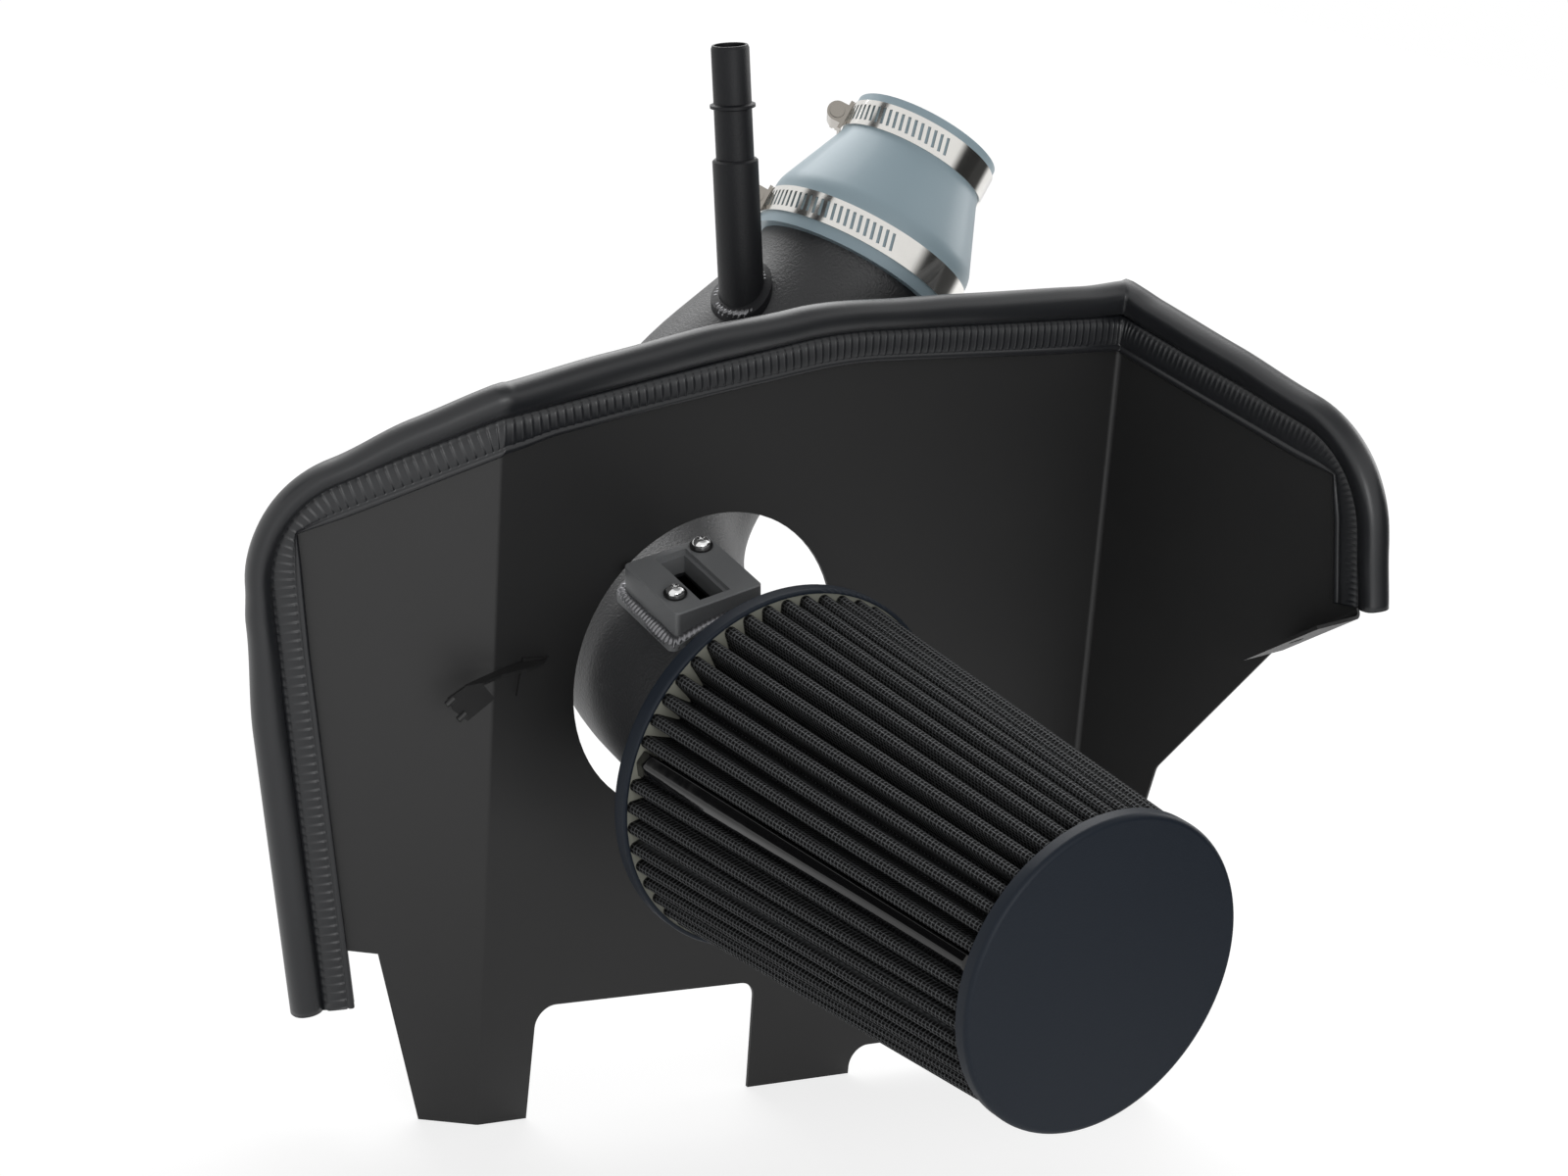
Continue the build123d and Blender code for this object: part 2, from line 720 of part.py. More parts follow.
def bond_ring():
    """Cast ring that bonds the pleats into the base."""
    ring = Circle(lip_radius - weld_gap) - Circle(cage_root - cage_wall - 3.0)
    return filter_frame.location * extrude(ring, amount=bond_thickness)


def filter_cap():
    """Moulded cap with rounded edges."""
    disc = Pos(0, 0, filter_length - cap_thickness / 2) * Cylinder(cap_radius, cap_thickness)
    disc = fillet(disc.edges().group_by(Axis.Z)[-1], cap_edge)
    return filter_frame.location * disc


def tube_bracket(tube_rod):
    """Strip bolted behind the shield, bent back and up, and cut to the tube it carries."""
    back = sheet
    low = bracket_bolt_z - bracket_width / 2
    shelf = bracket_bolt_z + bracket_width / 2
    points = [(back, low), (back, shelf), (back + bracket_reach, shelf), (back + bracket_reach, neck_z)]
    near = FilletPolyline(*points, radius=[bracket_sheet + 1.5, 1.5])
    outline = offset(Wire(near.edges()), amount=bracket_sheet, side=Side.RIGHT, closed=True)
    strip = extrude(Plane.YZ * Face(Wire(outline.edges())), amount=bracket_width / 2, both=True)
    hole = Pos(0, 0, bracket_bolt_z) * Rot(90, 0, 0) * Cylinder(bolt_radius + slide_gap, 4 * slab)
    return Pos(bracket_x, 0, 0) * (strip - hole) - tube_rod


bolt_frame = Plane(origin=(bracket_x, 0, bracket_bolt_z), x_dir=(1, 0, 0), z_dir=(0, -1, 0))
nut_seat = sheet + bracket_sheet


def bracket_bolt():
    """Hexagon bolt from the front of the shield."""
    length = nut_seat + nut_height + bolt_tail
    shank = Pos(0, 0, -length / 2) * Cylinder(bolt_radius, length)
    head = extrude(RegularPolygon(bolt_head_radius, 6), amount=bolt_head_height)
    return bolt_frame.location * (shank + head)


def bracket_nut():
    """Nut behind the bracket."""
    ring = RegularPolygon(bolt_head_radius, 6) - Circle(bolt_radius + slide_gap)
    return bolt_frame.location * (Pos(0, 0, -nut_seat - nut_height) * extrude(ring, amount=nut_height))


def line_clip():
    """Clip for a thin line: a welded tab, a shelf that slopes away, and a hanging lozenge plate."""
    right = clip_x + clip_tab_wide / 2
    top = clip_z + clip_tab_high / 2
    tab_plate = Pos(clip_x, -clip_sheet / 2, clip_z) * Box(clip_tab_wide, clip_sheet, clip_tab_high)
    shelf_outline = Polyline((0, 0), (-clip_tab_wide, 0), *clip_shelf, close=True)
    shelf = extrude(Face(Wire(shelf_outline.edges())), amount=-clip_sheet, dir=(0, 0, 1))
    shelf = Pos(right, 0, top) * Rot(0, -clip_slope, 0) * shelf
    plate_outline = Polyline(*[(x, -clip_stand_off, z) for x, z in clip_plate], close=True)
    plate = extrude(Face(Wire(plate_outline.edges())), amount=clip_sheet, dir=(0, -1, 0))
    body = tab_plate + shelf + plate
    for x, z in clip_ears:
        centre = Pos(x, -clip_stand_off - clip_sheet, z)
        body = body + centre * Rot(0, 45, 0) * Cylinder(clip_ear_radius, clip_ear_length)
    return body


tube_rod = tube_core(tube_radius)
flange_slot = slot_cutter()
vent_hole = vent_frame.location * Cylinder(vent_bore, vent_height)
bolt_hole = bolt_frame.location * Cylinder(bolt_radius + slide_gap, 4 * slab)
shield_body = shield() - bolt_hole

parts = {
    "heat_shield": shield_body,
    "edge_seal": seal(shield_body),
    "line_clip": line_clip(),
    "intake_tube": tube_rod - tube_core(tube_radius - tube_wall) - flange_slot - vent_hole,
    "sensor_flange": sensor_flange(),
    "sensor_screws": Compound(children=[sensor_screw(x, y) for x, y in screw_places]),
    "sensor_washers": Compound(children=[sensor_washer(x, y) for x, y in screw_places]),
    "vent_tube": vent_tube(tube_rod),
    "reducer_hose": reducer_hose(),
    "filter_base": filter_base(),
    "bond_ring": bond_ring(),
    "filter_media": filter_media(),
    "filter_cage": filter_cage(),
    "filter_cap": filter_cap(),
    "label_strip": label_strip(),
    "tube_bracket": tube_bracket(tube_rod),
    "bracket_bolt": bracket_bolt(),
    "bracket_nut": bracket_nut(),
}
small_end = Plane(origin=tube_end + end_way * small_clamp_station, x_dir=(0, 1, 0), z_dir=end_way)
large_end = Plane(origin=tube_end + end_way * large_clamp_station, x_dir=(0, 1, 0), z_dir=end_way)
neck_end = along_neck(filter_clamp_station)
parts |= clamp("engine_clamp", small_end, hose_small_radius, small_clamp_turn, small_clamp_slots)
parts |= clamp("tube_clamp", large_end, hose_radius, large_clamp_turn, large_clamp_slots)
parts |= clamp("filter_clamp", neck_end, tube_radius + neck_wall, filter_clamp_turn, large_clamp_slots)

# Everything moves so that the origin is the middle of the footprint, on the floor
boxes = [body.bounding_box() for body in parts.values()]
low_x, high_x = min(box.min.X for box in boxes), max(box.max.X for box in boxes)
low_y, high_y = min(box.min.Y for box in boxes), max(box.max.Y for box in boxes)
low_z = min(box.min.Z for box in boxes)
shift = Pos(-(low_x + high_x) / 2, -(low_y + high_y) / 2, -low_z)
for name, body in parts.items():
    export_step(shift * body, f"parts/{name}.step")
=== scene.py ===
"""Cold air intake on a pale floor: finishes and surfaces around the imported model."""

import logging
import math
from dataclasses import dataclass
from enum import Enum

import bpy
import numpy as np
from mathutils import Matrix, Vector


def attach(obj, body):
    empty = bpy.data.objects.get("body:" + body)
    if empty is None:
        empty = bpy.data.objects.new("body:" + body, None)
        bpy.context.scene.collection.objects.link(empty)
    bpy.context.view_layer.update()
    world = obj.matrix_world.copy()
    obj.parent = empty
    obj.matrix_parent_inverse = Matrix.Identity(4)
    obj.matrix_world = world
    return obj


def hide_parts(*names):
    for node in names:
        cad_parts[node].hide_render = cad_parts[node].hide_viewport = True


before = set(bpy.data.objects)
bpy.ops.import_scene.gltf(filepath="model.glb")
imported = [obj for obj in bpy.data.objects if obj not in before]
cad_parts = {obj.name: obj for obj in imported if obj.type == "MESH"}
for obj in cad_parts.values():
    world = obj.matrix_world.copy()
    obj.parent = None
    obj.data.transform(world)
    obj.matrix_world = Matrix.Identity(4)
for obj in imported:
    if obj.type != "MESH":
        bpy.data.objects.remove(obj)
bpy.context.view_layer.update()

log = logging.getLogger("cold_air_intake")

# Two numbers, three numbers, and a place where a node takes or gives a value.
Pair = tuple[float, float]
Triple = tuple[float, float, float]
Socket = bpy.types.NodeSocket

# Metres in a millimetre, and the shift from the drawing's corner to the model's origin.
MM = 0.001
ORIGIN_SHIFT = np.array([-103.9045, 64.3204, 0.0])

# The filter's neck, where the tube starts and the filter's base has its middle.
NECK = (57.1, -82.4, 188.9)

# Noise: cells per metre, octaves, and the share that each octave keeps.
COAT_PATCHES = (14.0, 3.0, 0.55)
SLOW_DENTS = (24.0, 1.0, 0.4)
STEEL_PATCHES = (60.0, 3.0, 0.6)

# The same without the cells, for grain and for lines.
GRAIN_OCTAVES = (2.0, 0.6)
LINE_OCTAVES = (1.0, 0.5)


def unit(vector: np.ndarray) -> np.ndarray:
    """Vector, or each row of an array of vectors, at length one."""
    return vector / np.linalg.norm(vector, axis=-1, keepdims=True)


def heading(turn: float, rise: float) -> np.ndarray:
    """Unit vector at a turn from +X towards +Y and a rise above the floor, both in degrees."""
    turn, rise = math.radians(turn), math.radians(rise)
    return np.array([math.cos(rise) * math.cos(turn), math.cos(rise) * math.sin(turn), math.sin(rise)])


def eased(stations: np.ndarray, table: tuple[Pair, ...]) -> np.ndarray:
    """Values along a path from a table of (station, value), eased between its rows.

    Args:
        stations: Path lengths.
        table: Rows of a path length and a value.

    Returns:
        One value for each station.
    """
    spots, values = np.array(table, dtype=float).T
    after = np.clip(np.searchsorted(spots, stations, side="right"), 1, len(spots) - 1)
    share = np.clip((stations - spots[after - 1]) / (spots[after] - spots[after - 1]), 0.0, 1.0)
    return values[after - 1] + (values[after] - values[after - 1]) * share * share * (3 - 2 * share)


def waves(stations: np.ndarray, rows: tuple[Triple, ...]) -> np.ndarray:
    """Sum of sines along a path, each with a height, a wavelength over two pi and a phase."""
    return sum(height * np.sin(stations / length + phase) for height, length, phase in rows)


def path_lengths(points: np.ndarray) -> np.ndarray:
    """Length along a path up to each of its points."""
    return np.concatenate([[0.0], np.cumsum(np.linalg.norm(np.diff(points, axis=0), axis=1))])


def read_off(spots: np.ndarray, lengths: np.ndarray, rows: np.ndarray) -> np.ndarray:
    """Rows of numbers at other path lengths, straight between the rows that are known."""
    return np.stack([np.interp(spots, lengths, column) for column in rows.T], axis=1)


def lattice_quads(numbers: np.ndarray, closed: bool) -> np.ndarray:
    """Quads between each row of a lattice of points and the next.

    Args:
        numbers: Point numbers as rows by columns.
        closed: Whether the last column joins the first.

    Returns:
        One row of four point numbers for each quad.
    """
    after = np.roll(numbers, -1, axis=1)
    if not closed:
        numbers, after = numbers[:, :-1], after[:, :-1]
    return np.stack([numbers[:-1], after[:-1], after[1:], numbers[1:]], axis=-1).reshape(-1, 4)


@dataclass
class Skin:
    """Points and quads gathered for one piece, in the model's millimetres.

    Attributes:
        points: Blocks of points, each an array of rows of three.
        quads: Blocks of quads into all the points.
        uvs: One block of (u, v) in millimetres for each block of points.
        count: Points gathered so far.
    """

    points: list[np.ndarray]
    quads: list[np.ndarray]
    uvs: list[np.ndarray]
    count: int = 0

    @classmethod
    def empty(cls) -> "Skin":
        """Skin with nothing in it."""
        return cls([], [], [])

    def add_grid(self, grid: np.ndarray, uv: np.ndarray | None = None, flip: bool = False) -> int:
        """Adds a grid of points whose last column joins the first, and its quads.

        Args:
            grid: Points as rows by columns by three.
            uv: Pattern coordinates as rows by columns by two, or None.
            flip: Whether the faces turn the other way.

        Returns:
            Number of the grid's first point.
        """
        rows, columns = grid.shape[:2]
        base = self.count
        quads = lattice_quads(np.arange(rows * columns).reshape(rows, columns) + base, True)
        self.quads.append(quads[:, ::-1] if flip else quads)
        self.points.append(grid.reshape(-1, 3))
        self.uvs.append(np.zeros((rows * columns, 2)) if uv is None else uv.reshape(-1, 2))
        self.count += rows * columns
        return base

    def join_rows(self, first: np.ndarray, second: np.ndarray, closed: bool) -> None:
        """Adds the strip of quads between two rows of points that are already in.

        Args:
            first: Point numbers of one row.
            second: Point numbers of the other row, as many.
            closed: Whether the last column joins the first.
        """
        self.quads.append(lattice_quads(np.stack([first, second]), closed))

    def add_wall(self, outer: np.ndarray, inner: np.ndarray, flip: bool = False) -> None:
        """Adds a wall between two open outlines, and closes it at its first and last row.

        Args:
            outer: Outer points as rows by columns by three.
            inner: Inner points, as many.
            flip: Whether the faces turn the other way.
        """
        rows, columns = outer.shape[:2]
        base = self.add_grid(np.concatenate([outer, inner[:, ::-1]], axis=1), flip=flip)
        for row, swap in ((0, flip), (rows - 1, not flip)):
            outside = base + row * 2 * columns + np.arange(columns)
            inside = base + (row + 1) * 2 * columns - 1 - np.arange(columns)
            self.join_rows(*((outside, inside) if swap else (inside, outside)), False)

    def build(self, name: str) -> bpy.types.Object:
        """Makes the mesh object, in metres and in the model's frame.

        Args:
            name: Name of the piece.

        Returns:
            The new object, linked to the scene.
        """
        points = (np.concatenate(self.points) + ORIGIN_SHIFT) * MM
        quads = np.concatenate(self.quads).astype(np.int32)
        uvs = np.concatenate(self.uvs)
        mesh = bpy.data.meshes.new(name)
        mesh.vertices.add(len(points))
        mesh.vertices.foreach_set("co", points.astype(np.float32).ravel())
        mesh.loops.add(quads.size)
        mesh.loops.foreach_set("vertex_index", quads.ravel())
        mesh.polygons.add(len(quads))
        mesh.polygons.foreach_set("loop_start", np.arange(0, quads.size, 4, dtype=np.int32))
        layer = mesh.uv_layers.new(name="pattern")
        layer.data.foreach_set("uv", uvs[quads.ravel()].astype(np.float32).ravel())
        mesh.polygons.foreach_set("use_smooth", np.ones(len(quads), dtype=bool))
        mesh.update(calc_edges=True)
        mesh.validate()
        piece = bpy.data.objects.new(name, mesh)
        bpy.context.scene.collection.objects.link(piece)
        return piece


class NodeKit:
    """Short calls for the nodes and links of one node tree."""

    def __init__(self, tree: bpy.types.NodeTree) -> None:
        """Takes over a node tree."""
        self.nodes = tree.nodes
        self.links = tree.links

    def feed(self, socket: Socket, value: object) -> None:
        """Links a socket to another, or sets it to a plain value.

        Args:
            socket: The input socket.
            value: An output socket, a number or a tuple.
        """
        if isinstance(value, Socket):
            self.links.new(value, socket)
        else:
            socket.default_value = value

    def object_coordinates(self) -> Socket:
        """Object coordinates, in metres."""
        return self.nodes.new("ShaderNodeTexCoord").outputs["Object"]

    def pattern_coordinates(self) -> tuple[Socket, Socket]:
        """The piece's own pattern coordinates.

        Returns:
            The two coordinates in millimetres, as sockets.
        """
        uv = self.nodes.new("ShaderNodeUVMap")
        uv.uv_map = "pattern"
        parts = self.nodes.new("ShaderNodeSeparateXYZ")
        self.links.new(uv.outputs[0], parts.inputs[0])
        return parts.outputs[0], parts.outputs[1]

    def math(self, operation: str, first: object, second: object = 0.0) -> Socket:
        """Result of a math node.

        Args:
            operation: The node's operation.
            first: First value or socket.
            second: Second value or socket.

        Returns:
            The result socket.
        """
        node = self.nodes.new("ShaderNodeMath")
        node.operation = operation
        self.feed(node.inputs[0], first)
        self.feed(node.inputs[1], second)
        return node.outputs[0]

    def noise(self, scale: float, detail: float = 2.0, rough: float = 0.5) -> Socket:
        """Noise over the object's coordinates.

        Args:
            scale: Noise cells per metre.
            detail: Octaves.
            rough: Share that each octave keeps.

        Returns:
            The noise value socket.
        """
        node = self.nodes.new("ShaderNodeTexNoise")
        self.links.new(self.object_coordinates(), node.inputs["Vector"])
        node.inputs["Scale"].default_value = scale
        node.inputs["Detail"].default_value = detail
        node.inputs["Roughness"].default_value = rough
        return node.outputs[0]

    def spread(
        self, value: object, low: float, high: float, start: float = 0.0, end: float = 1.0
    ) -> Socket:
        """Maps a value from start..end to low..high, and no further.

        Args:
            value: A number or a socket.
            low: Result at the start.
            high: Result at the end.
            start: Value that gives the low result.
            end: Value that gives the high result.

        Returns:
            The result socket.
        """
        node = self.nodes.new("ShaderNodeMapRange")
        self.feed(node.inputs["Value"], value)
        for name, limit in (("From Min", start), ("From Max", end), ("To Min", low), ("To Max", high)):
            node.inputs[name].default_value = limit
        return node.outputs[0]

    def blend(self, amount: object, first: tuple, second: tuple) -> Socket:
        """Colour between two colours.

        Args:
            amount: Share of the second colour, a value or a socket.
            first: First colour, red, green and blue.
            second: Second colour, red, green and blue.

        Returns:
            The colour socket.
        """
        node = self.nodes.new("ShaderNodeMix")
        node.data_type = "RGBA"
        self.feed(node.inputs[0], amount)
        node.inputs[6].default_value = (*first, 1.0)
        node.inputs[7].default_value = (*second, 1.0)
        return node.outputs[2]

    def bump(self, height: object, depth: float, under: object = None) -> Socket:
        """Normal bumped by a height.

        Args:
            height: Height socket, 0..1.
            depth: Height of a full step, in metres.
            under: Normal socket to build on, or None.

        Returns:
            The normal socket.
        """
        node = self.nodes.new("ShaderNodeBump")
        node.inputs["Distance"].default_value = depth
        self.feed(node.inputs["Height"], height)
        if under is not None:
            self.links.new(under, node.inputs["Normal"])
        return node.outputs[0]

    def vector(
        self, operation: str, first: object, second: object = (0.0, 0.0, 0.0)
    ) -> Socket:
        """Result of a vector math node: its value for a length or a dot product, or its vector.

        Args:
            operation: The node's operation.
            first: First vector or socket.
            second: Second vector or socket.

        Returns:
            The result socket.
        """
        node = self.nodes.new("ShaderNodeVectorMath")
        node.operation = operation
        self.feed(node.inputs[0], first)
        self.feed(node.inputs[1], second)
        return node.outputs["Value" if operation in ("LENGTH", "DOT_PRODUCT") else "Vector"]

    def ray(self, kind: str) -> Socket:
        """Whether the ray is of a kind, 0 or 1."""
        return self.nodes.new("ShaderNodeLightPath").outputs[f"Is {kind} Ray"]

    def seen(self) -> Socket:
        """Whether the ray looks straight at the surface or through a clear piece, 0 or 1."""
        return self.math("MAXIMUM", self.ray("Camera"), self.ray("Transmission"))


class NodeTree(NodeKit):
    """A material's node tree with one Principled shader."""

    def __init__(self, name: str) -> None:
        """Starts a material with a Principled shader and its output.

        Args:
            name: Name of the material.
        """
        self.material = bpy.data.materials.new(name)
        self.material.use_nodes = True
        super().__init__(self.material.node_tree)
        self.nodes.clear()
        output = self.nodes.new("ShaderNodeOutputMaterial")
        self.shader = self.nodes.new("ShaderNodeBsdfPrincipled")
        self.links.new(self.shader.outputs[0], output.inputs[0])

    def set(self, **values: object) -> None:
        """Sets or links the shader's own sockets, with underscores for spaces in their names."""
        for name, value in values.items():
            self.feed(self.shader.inputs[name.replace("_", " ")], value)


@dataclass(frozen=True)
class SkinFinish:
    """A coloured skin with fine grain: powder coat, rubber or moulded plastic.

    Attributes:
        name: Name of the material.
        colour: Base colour.
        patch_tone: Colour that the base drifts to in soft patches.
        roughness: Middle roughness.
        drift: How far the roughness drifts each way.
        grain: Grain cells per metre.
        grain_depth: Depth of the grain in metres.
        coat: Weight of a clear coat.
        metallic: Metallic share.
        specular: Specular level.
        dents: Depth of slow dents in metres.
        coat_roughness: Roughness of the clear coat.
    """

    name: str
    colour: Triple
    patch_tone: Triple
    roughness: float
    drift: float = 0.05
    grain: float = 900.0
    grain_depth: float = 0.00004
    coat: float = 0.0
    metallic: float = 0.0
    specular: float = 0.5
    dents: float = 0.0
    coat_roughness: float = 0.12

    def material(self) -> bpy.types.Material:
        """Colour and roughness drift by the same patches; the grain lies on the dents.

        Returns:
            The finished material.
        """
        tree = NodeTree(self.name)
        patches = tree.noise(*COAT_PATCHES)
        grain = tree.noise(self.grain, *GRAIN_OCTAVES)
        slow = tree.bump(tree.noise(*SLOW_DENTS), self.dents) if self.dents > 0.0 else None
        tree.set(
            Base_Color=tree.blend(patches, self.colour, self.patch_tone),
            Roughness=tree.spread(patches, self.roughness - self.drift, self.roughness + self.drift),
            Normal=tree.bump(grain, self.grain_depth, slow),
            Metallic=self.metallic,
            Specular_IOR_Level=self.specular,
        )
        if self.coat > 0.0:
            tree.set(Coat_Weight=self.coat, Coat_Roughness=self.coat_roughness)
        return tree.material


@dataclass(frozen=True)
class BandSteel:
    """Rolled stainless steel, with fine lines along the band.

    Attributes:
        name: Name of the material.
        colour: Base colour.
        roughness: Middle roughness.
        lines: Line cells per metre across the band.
        line_depth: Depth of the lines in metres.
        smoother: How far the roughness falls in the patches.
        rougher: How far it rises.
        patch_tone: Share of the colour that is left in the patches.
    """

    name: str
    colour: Triple
    roughness: float
    lines: float = 2600.0
    line_depth: float = 0.000006
    smoother: float = 0.04
    rougher: float = 0.06
    patch_tone: float = 0.86

    def material(self) -> bpy.types.Material:
        """Colour and roughness drift by the same patches, under the fine lines.

        Returns:
            The finished material.
        """
        tree = NodeTree(self.name)
        patches = tree.noise(*STEEL_PATCHES)
        tree.set(
            Base_Color=tree.blend(patches, self.colour, tuple(self.patch_tone * part for part in self.colour)),
            Roughness=tree.spread(patches, self.roughness - self.smoother, self.roughness + self.rougher),
            Normal=tree.bump(tree.noise(self.lines, *LINE_OCTAVES), self.line_depth),
            Metallic=1.0,
        )
        return tree.material


@dataclass(frozen=True)
class WireMesh:
    """Black woven wire over cotton, laid by the piece's pattern coordinates.

    The height is the larger of two sets of ridges, each a power of the cosine along one
    coordinate, and each rises and dips where it crosses the other set.

    Attributes:
        name: Name of the material.
        pitch_across: Distance between the wires along the pleats, in millimetres.
        pitch_along: Distance between the wires across the pleats, in millimetres.
        wire: Colour of the wires, grey where the wire itself is black: in part a painted sheen.
        hollow: Colour between the wires: the black cotton, darkened to near black as painted shade.
        depth: Height of the wires in metres.
        thin: Power of the cosine; the higher, the thinner the wire.
        crimp: Share of the height by which a wire rises and dips.
        wire_roughness: Roughness of the wires.
        hollow_roughness: Roughness between them.
        wire_metallic: Metallic share of the wires.
        specular: Specular level.
    """

    name: str
    pitch_across: float
    pitch_along: float
    wire: Triple
    hollow: Triple
    depth: float
    thin: float = 9.0
    crimp: float = 0.3
    wire_roughness: float = 0.4
    hollow_roughness: float = 0.9
    wire_metallic: float = 0.55
    specular: float = 0.12

    def material(self) -> bpy.types.Material:
        """Colour, roughness, metal and bump all follow the height of the wires, so the colour paints shade
        low between the wires and sheen on them.

        Returns:
            The finished material.
        """
        tree = NodeTree(self.name)
        pitches = (self.pitch_across, self.pitch_along)
        first, second = (
            tree.math("COSINE", tree.math("MULTIPLY", place, math.pi / pitch))
            for place, pitch in zip(tree.pattern_coordinates(), pitches)
        )
        crossing = tree.math("MULTIPLY", tree.math("MULTIPLY", first, second), self.crimp)
        over, under = (
            tree.math(
                "MULTIPLY",
                tree.math("POWER", tree.math("ABSOLUTE", wave), self.thin),
                tree.math(operation, 1.0 - self.crimp, crossing),
            )
            for wave, operation in ((first, "ADD"), (second, "SUBTRACT"))
        )
        height = tree.math("MAXIMUM", over, under)
        tree.set(
            # Painted shade and sheen: the colour falls to near black where the height is low between the
            # wires, and rises to grey on the wires.
            Base_Color=tree.blend(height, self.hollow, self.wire),
            Roughness=tree.spread(height, self.hollow_roughness, self.wire_roughness),
            Metallic=tree.spread(height, 0.0, self.wire_metallic),
            Normal=tree.bump(height, self.depth),
            Specular_IOR_Level=self.specular,
        )
        return tree.material


class Finish(Enum):
    """The finishes on the intake's pieces."""

    SHIELD = SkinFinish(
        "shield_satin_coat", (0.0046, 0.0046, 0.0050), (0.0062, 0.0061, 0.0061),
        roughness=0.53, drift=0.03, grain=1500.0, grain_depth=0.00002, specular=0.60,
    )
    TUBE = SkinFinish(
        "tube_powder_coat", (0.0080, 0.0086, 0.0102), (0.0105, 0.0112, 0.0130),
        roughness=0.48, drift=0.04, grain=850.0, grain_depth=0.00030, specular=0.72,
    )
    VENT = SkinFinish(
        "vent_powder_coat", (0.0070, 0.0076, 0.0095), (0.0090, 0.0095, 0.0115),
        roughness=0.50, drift=0.04, grain=1300.0, grain_depth=0.00010, specular=0.30,
    )
    # Sensor block: coated black, but given a mid-grey colour as painted sheen for the light that falls on
    # its top.
    BLOCK_WITH_PAINTED_SHEEN = SkinFinish(
        "block_coat_with_painted_sheen", (0.1600, 0.1650, 0.1700), (0.1780, 0.1830, 0.1880),
        roughness=0.56, drift=0.03, grain=1500.0, grain_depth=0.00008, specular=1.0,
    )
    # Weld beads: coated black like the tube, but given a grey metallic colour and much lighter patches as
    # painted sheen for the glints on their ripples.
    WELD = SkinFinish(
        "weld_bead_coat_with_painted_sheen", (0.13, 0.13, 0.135), (0.32, 0.32, 0.335),
        roughness=0.28, drift=0.06, grain=1800.0, grain_depth=0.00003, metallic=0.75,
    )
    SEAL = SkinFinish(
        "seal_rubber", (0.0080, 0.0090, 0.0112), (0.0110, 0.0120, 0.0142),
        roughness=0.38, drift=0.05, grain=1100.0, grain_depth=0.00003, specular=0.6,
    )
    MOULDING = SkinFinish(
        "moulded_rubber", (0.0060, 0.0104, 0.0182), (0.0076, 0.0124, 0.0208),
        roughness=0.50, drift=0.05, grain=1300.0, grain_depth=0.00005, specular=0.24,
    )
    HOSE = SkinFinish(
        "silicone_hose", (0.312, 0.410, 0.462), (0.330, 0.432, 0.485),
        roughness=0.42, drift=0.05, grain=500.0, grain_depth=0.00002, coat=0.1, dents=0.0012,
    )
    BOND = SkinFinish(
        "cast_bond", (0.30, 0.305, 0.26), (0.21, 0.21, 0.175),
        roughness=0.6, drift=0.05, grain=700.0, grain_depth=0.00006,
    )
    FILM = SkinFinish(
        "strip_film", (0.003, 0.003, 0.0034), (0.004, 0.004, 0.0045),
        roughness=0.06, drift=0.01, grain=90.0, grain_depth=0.00006,
    )
    WASHER = SkinFinish(
        "black_oxide", (0.02, 0.02, 0.021), (0.03, 0.03, 0.03),
        roughness=0.36, drift=0.05, metallic=0.6,
    )
    BAND = BandSteel("rolled_stainless", (0.80, 0.785, 0.75), 0.12)
    # Worm housings and screws: the bands' stainless steel, darkened as a painted reflection of dark
    # surroundings.
    WORM_PAINTED_DARK_REFLECTION = BandSteel("worm_steel_painted_dark_reflection", (0.36, 0.335, 0.30), 0.22)
    PLATE = BandSteel("bright_plate", (0.88, 0.88, 0.88), 0.1, 900.0)
    CAGE = BandSteel("cage_steel", (0.35, 0.35, 0.35), 0.45)
    # The wire mesh's colours paint shade in its hollows and sheen on its wires.
    MEDIA = WireMesh("wire_over_cotton", 1.7, 1.95, (0.135, 0.14, 0.145), (0.0010, 0.0010, 0.0011), 0.0004)


class Palette:
    """Makes each finish's material once."""

    def __init__(self) -> None:
        """Starts with nothing made."""
        self.made: dict[Finish, bpy.types.Material] = {}

    def __getitem__(self, finish: Finish) -> bpy.types.Material:
        """Material of a finish, made when it is first asked for.

        Args:
            finish: The finish.

        Returns:
            Its material.
        """
        if finish not in self.made:
            self.made[finish] = finish.value.material()
        return self.made[finish]

    def dress(self, piece: bpy.types.Object, finish: Finish) -> None:
        """Gives a piece one finish all over."""
        piece.data.materials.clear()
        piece.data.materials.append(self[finish])


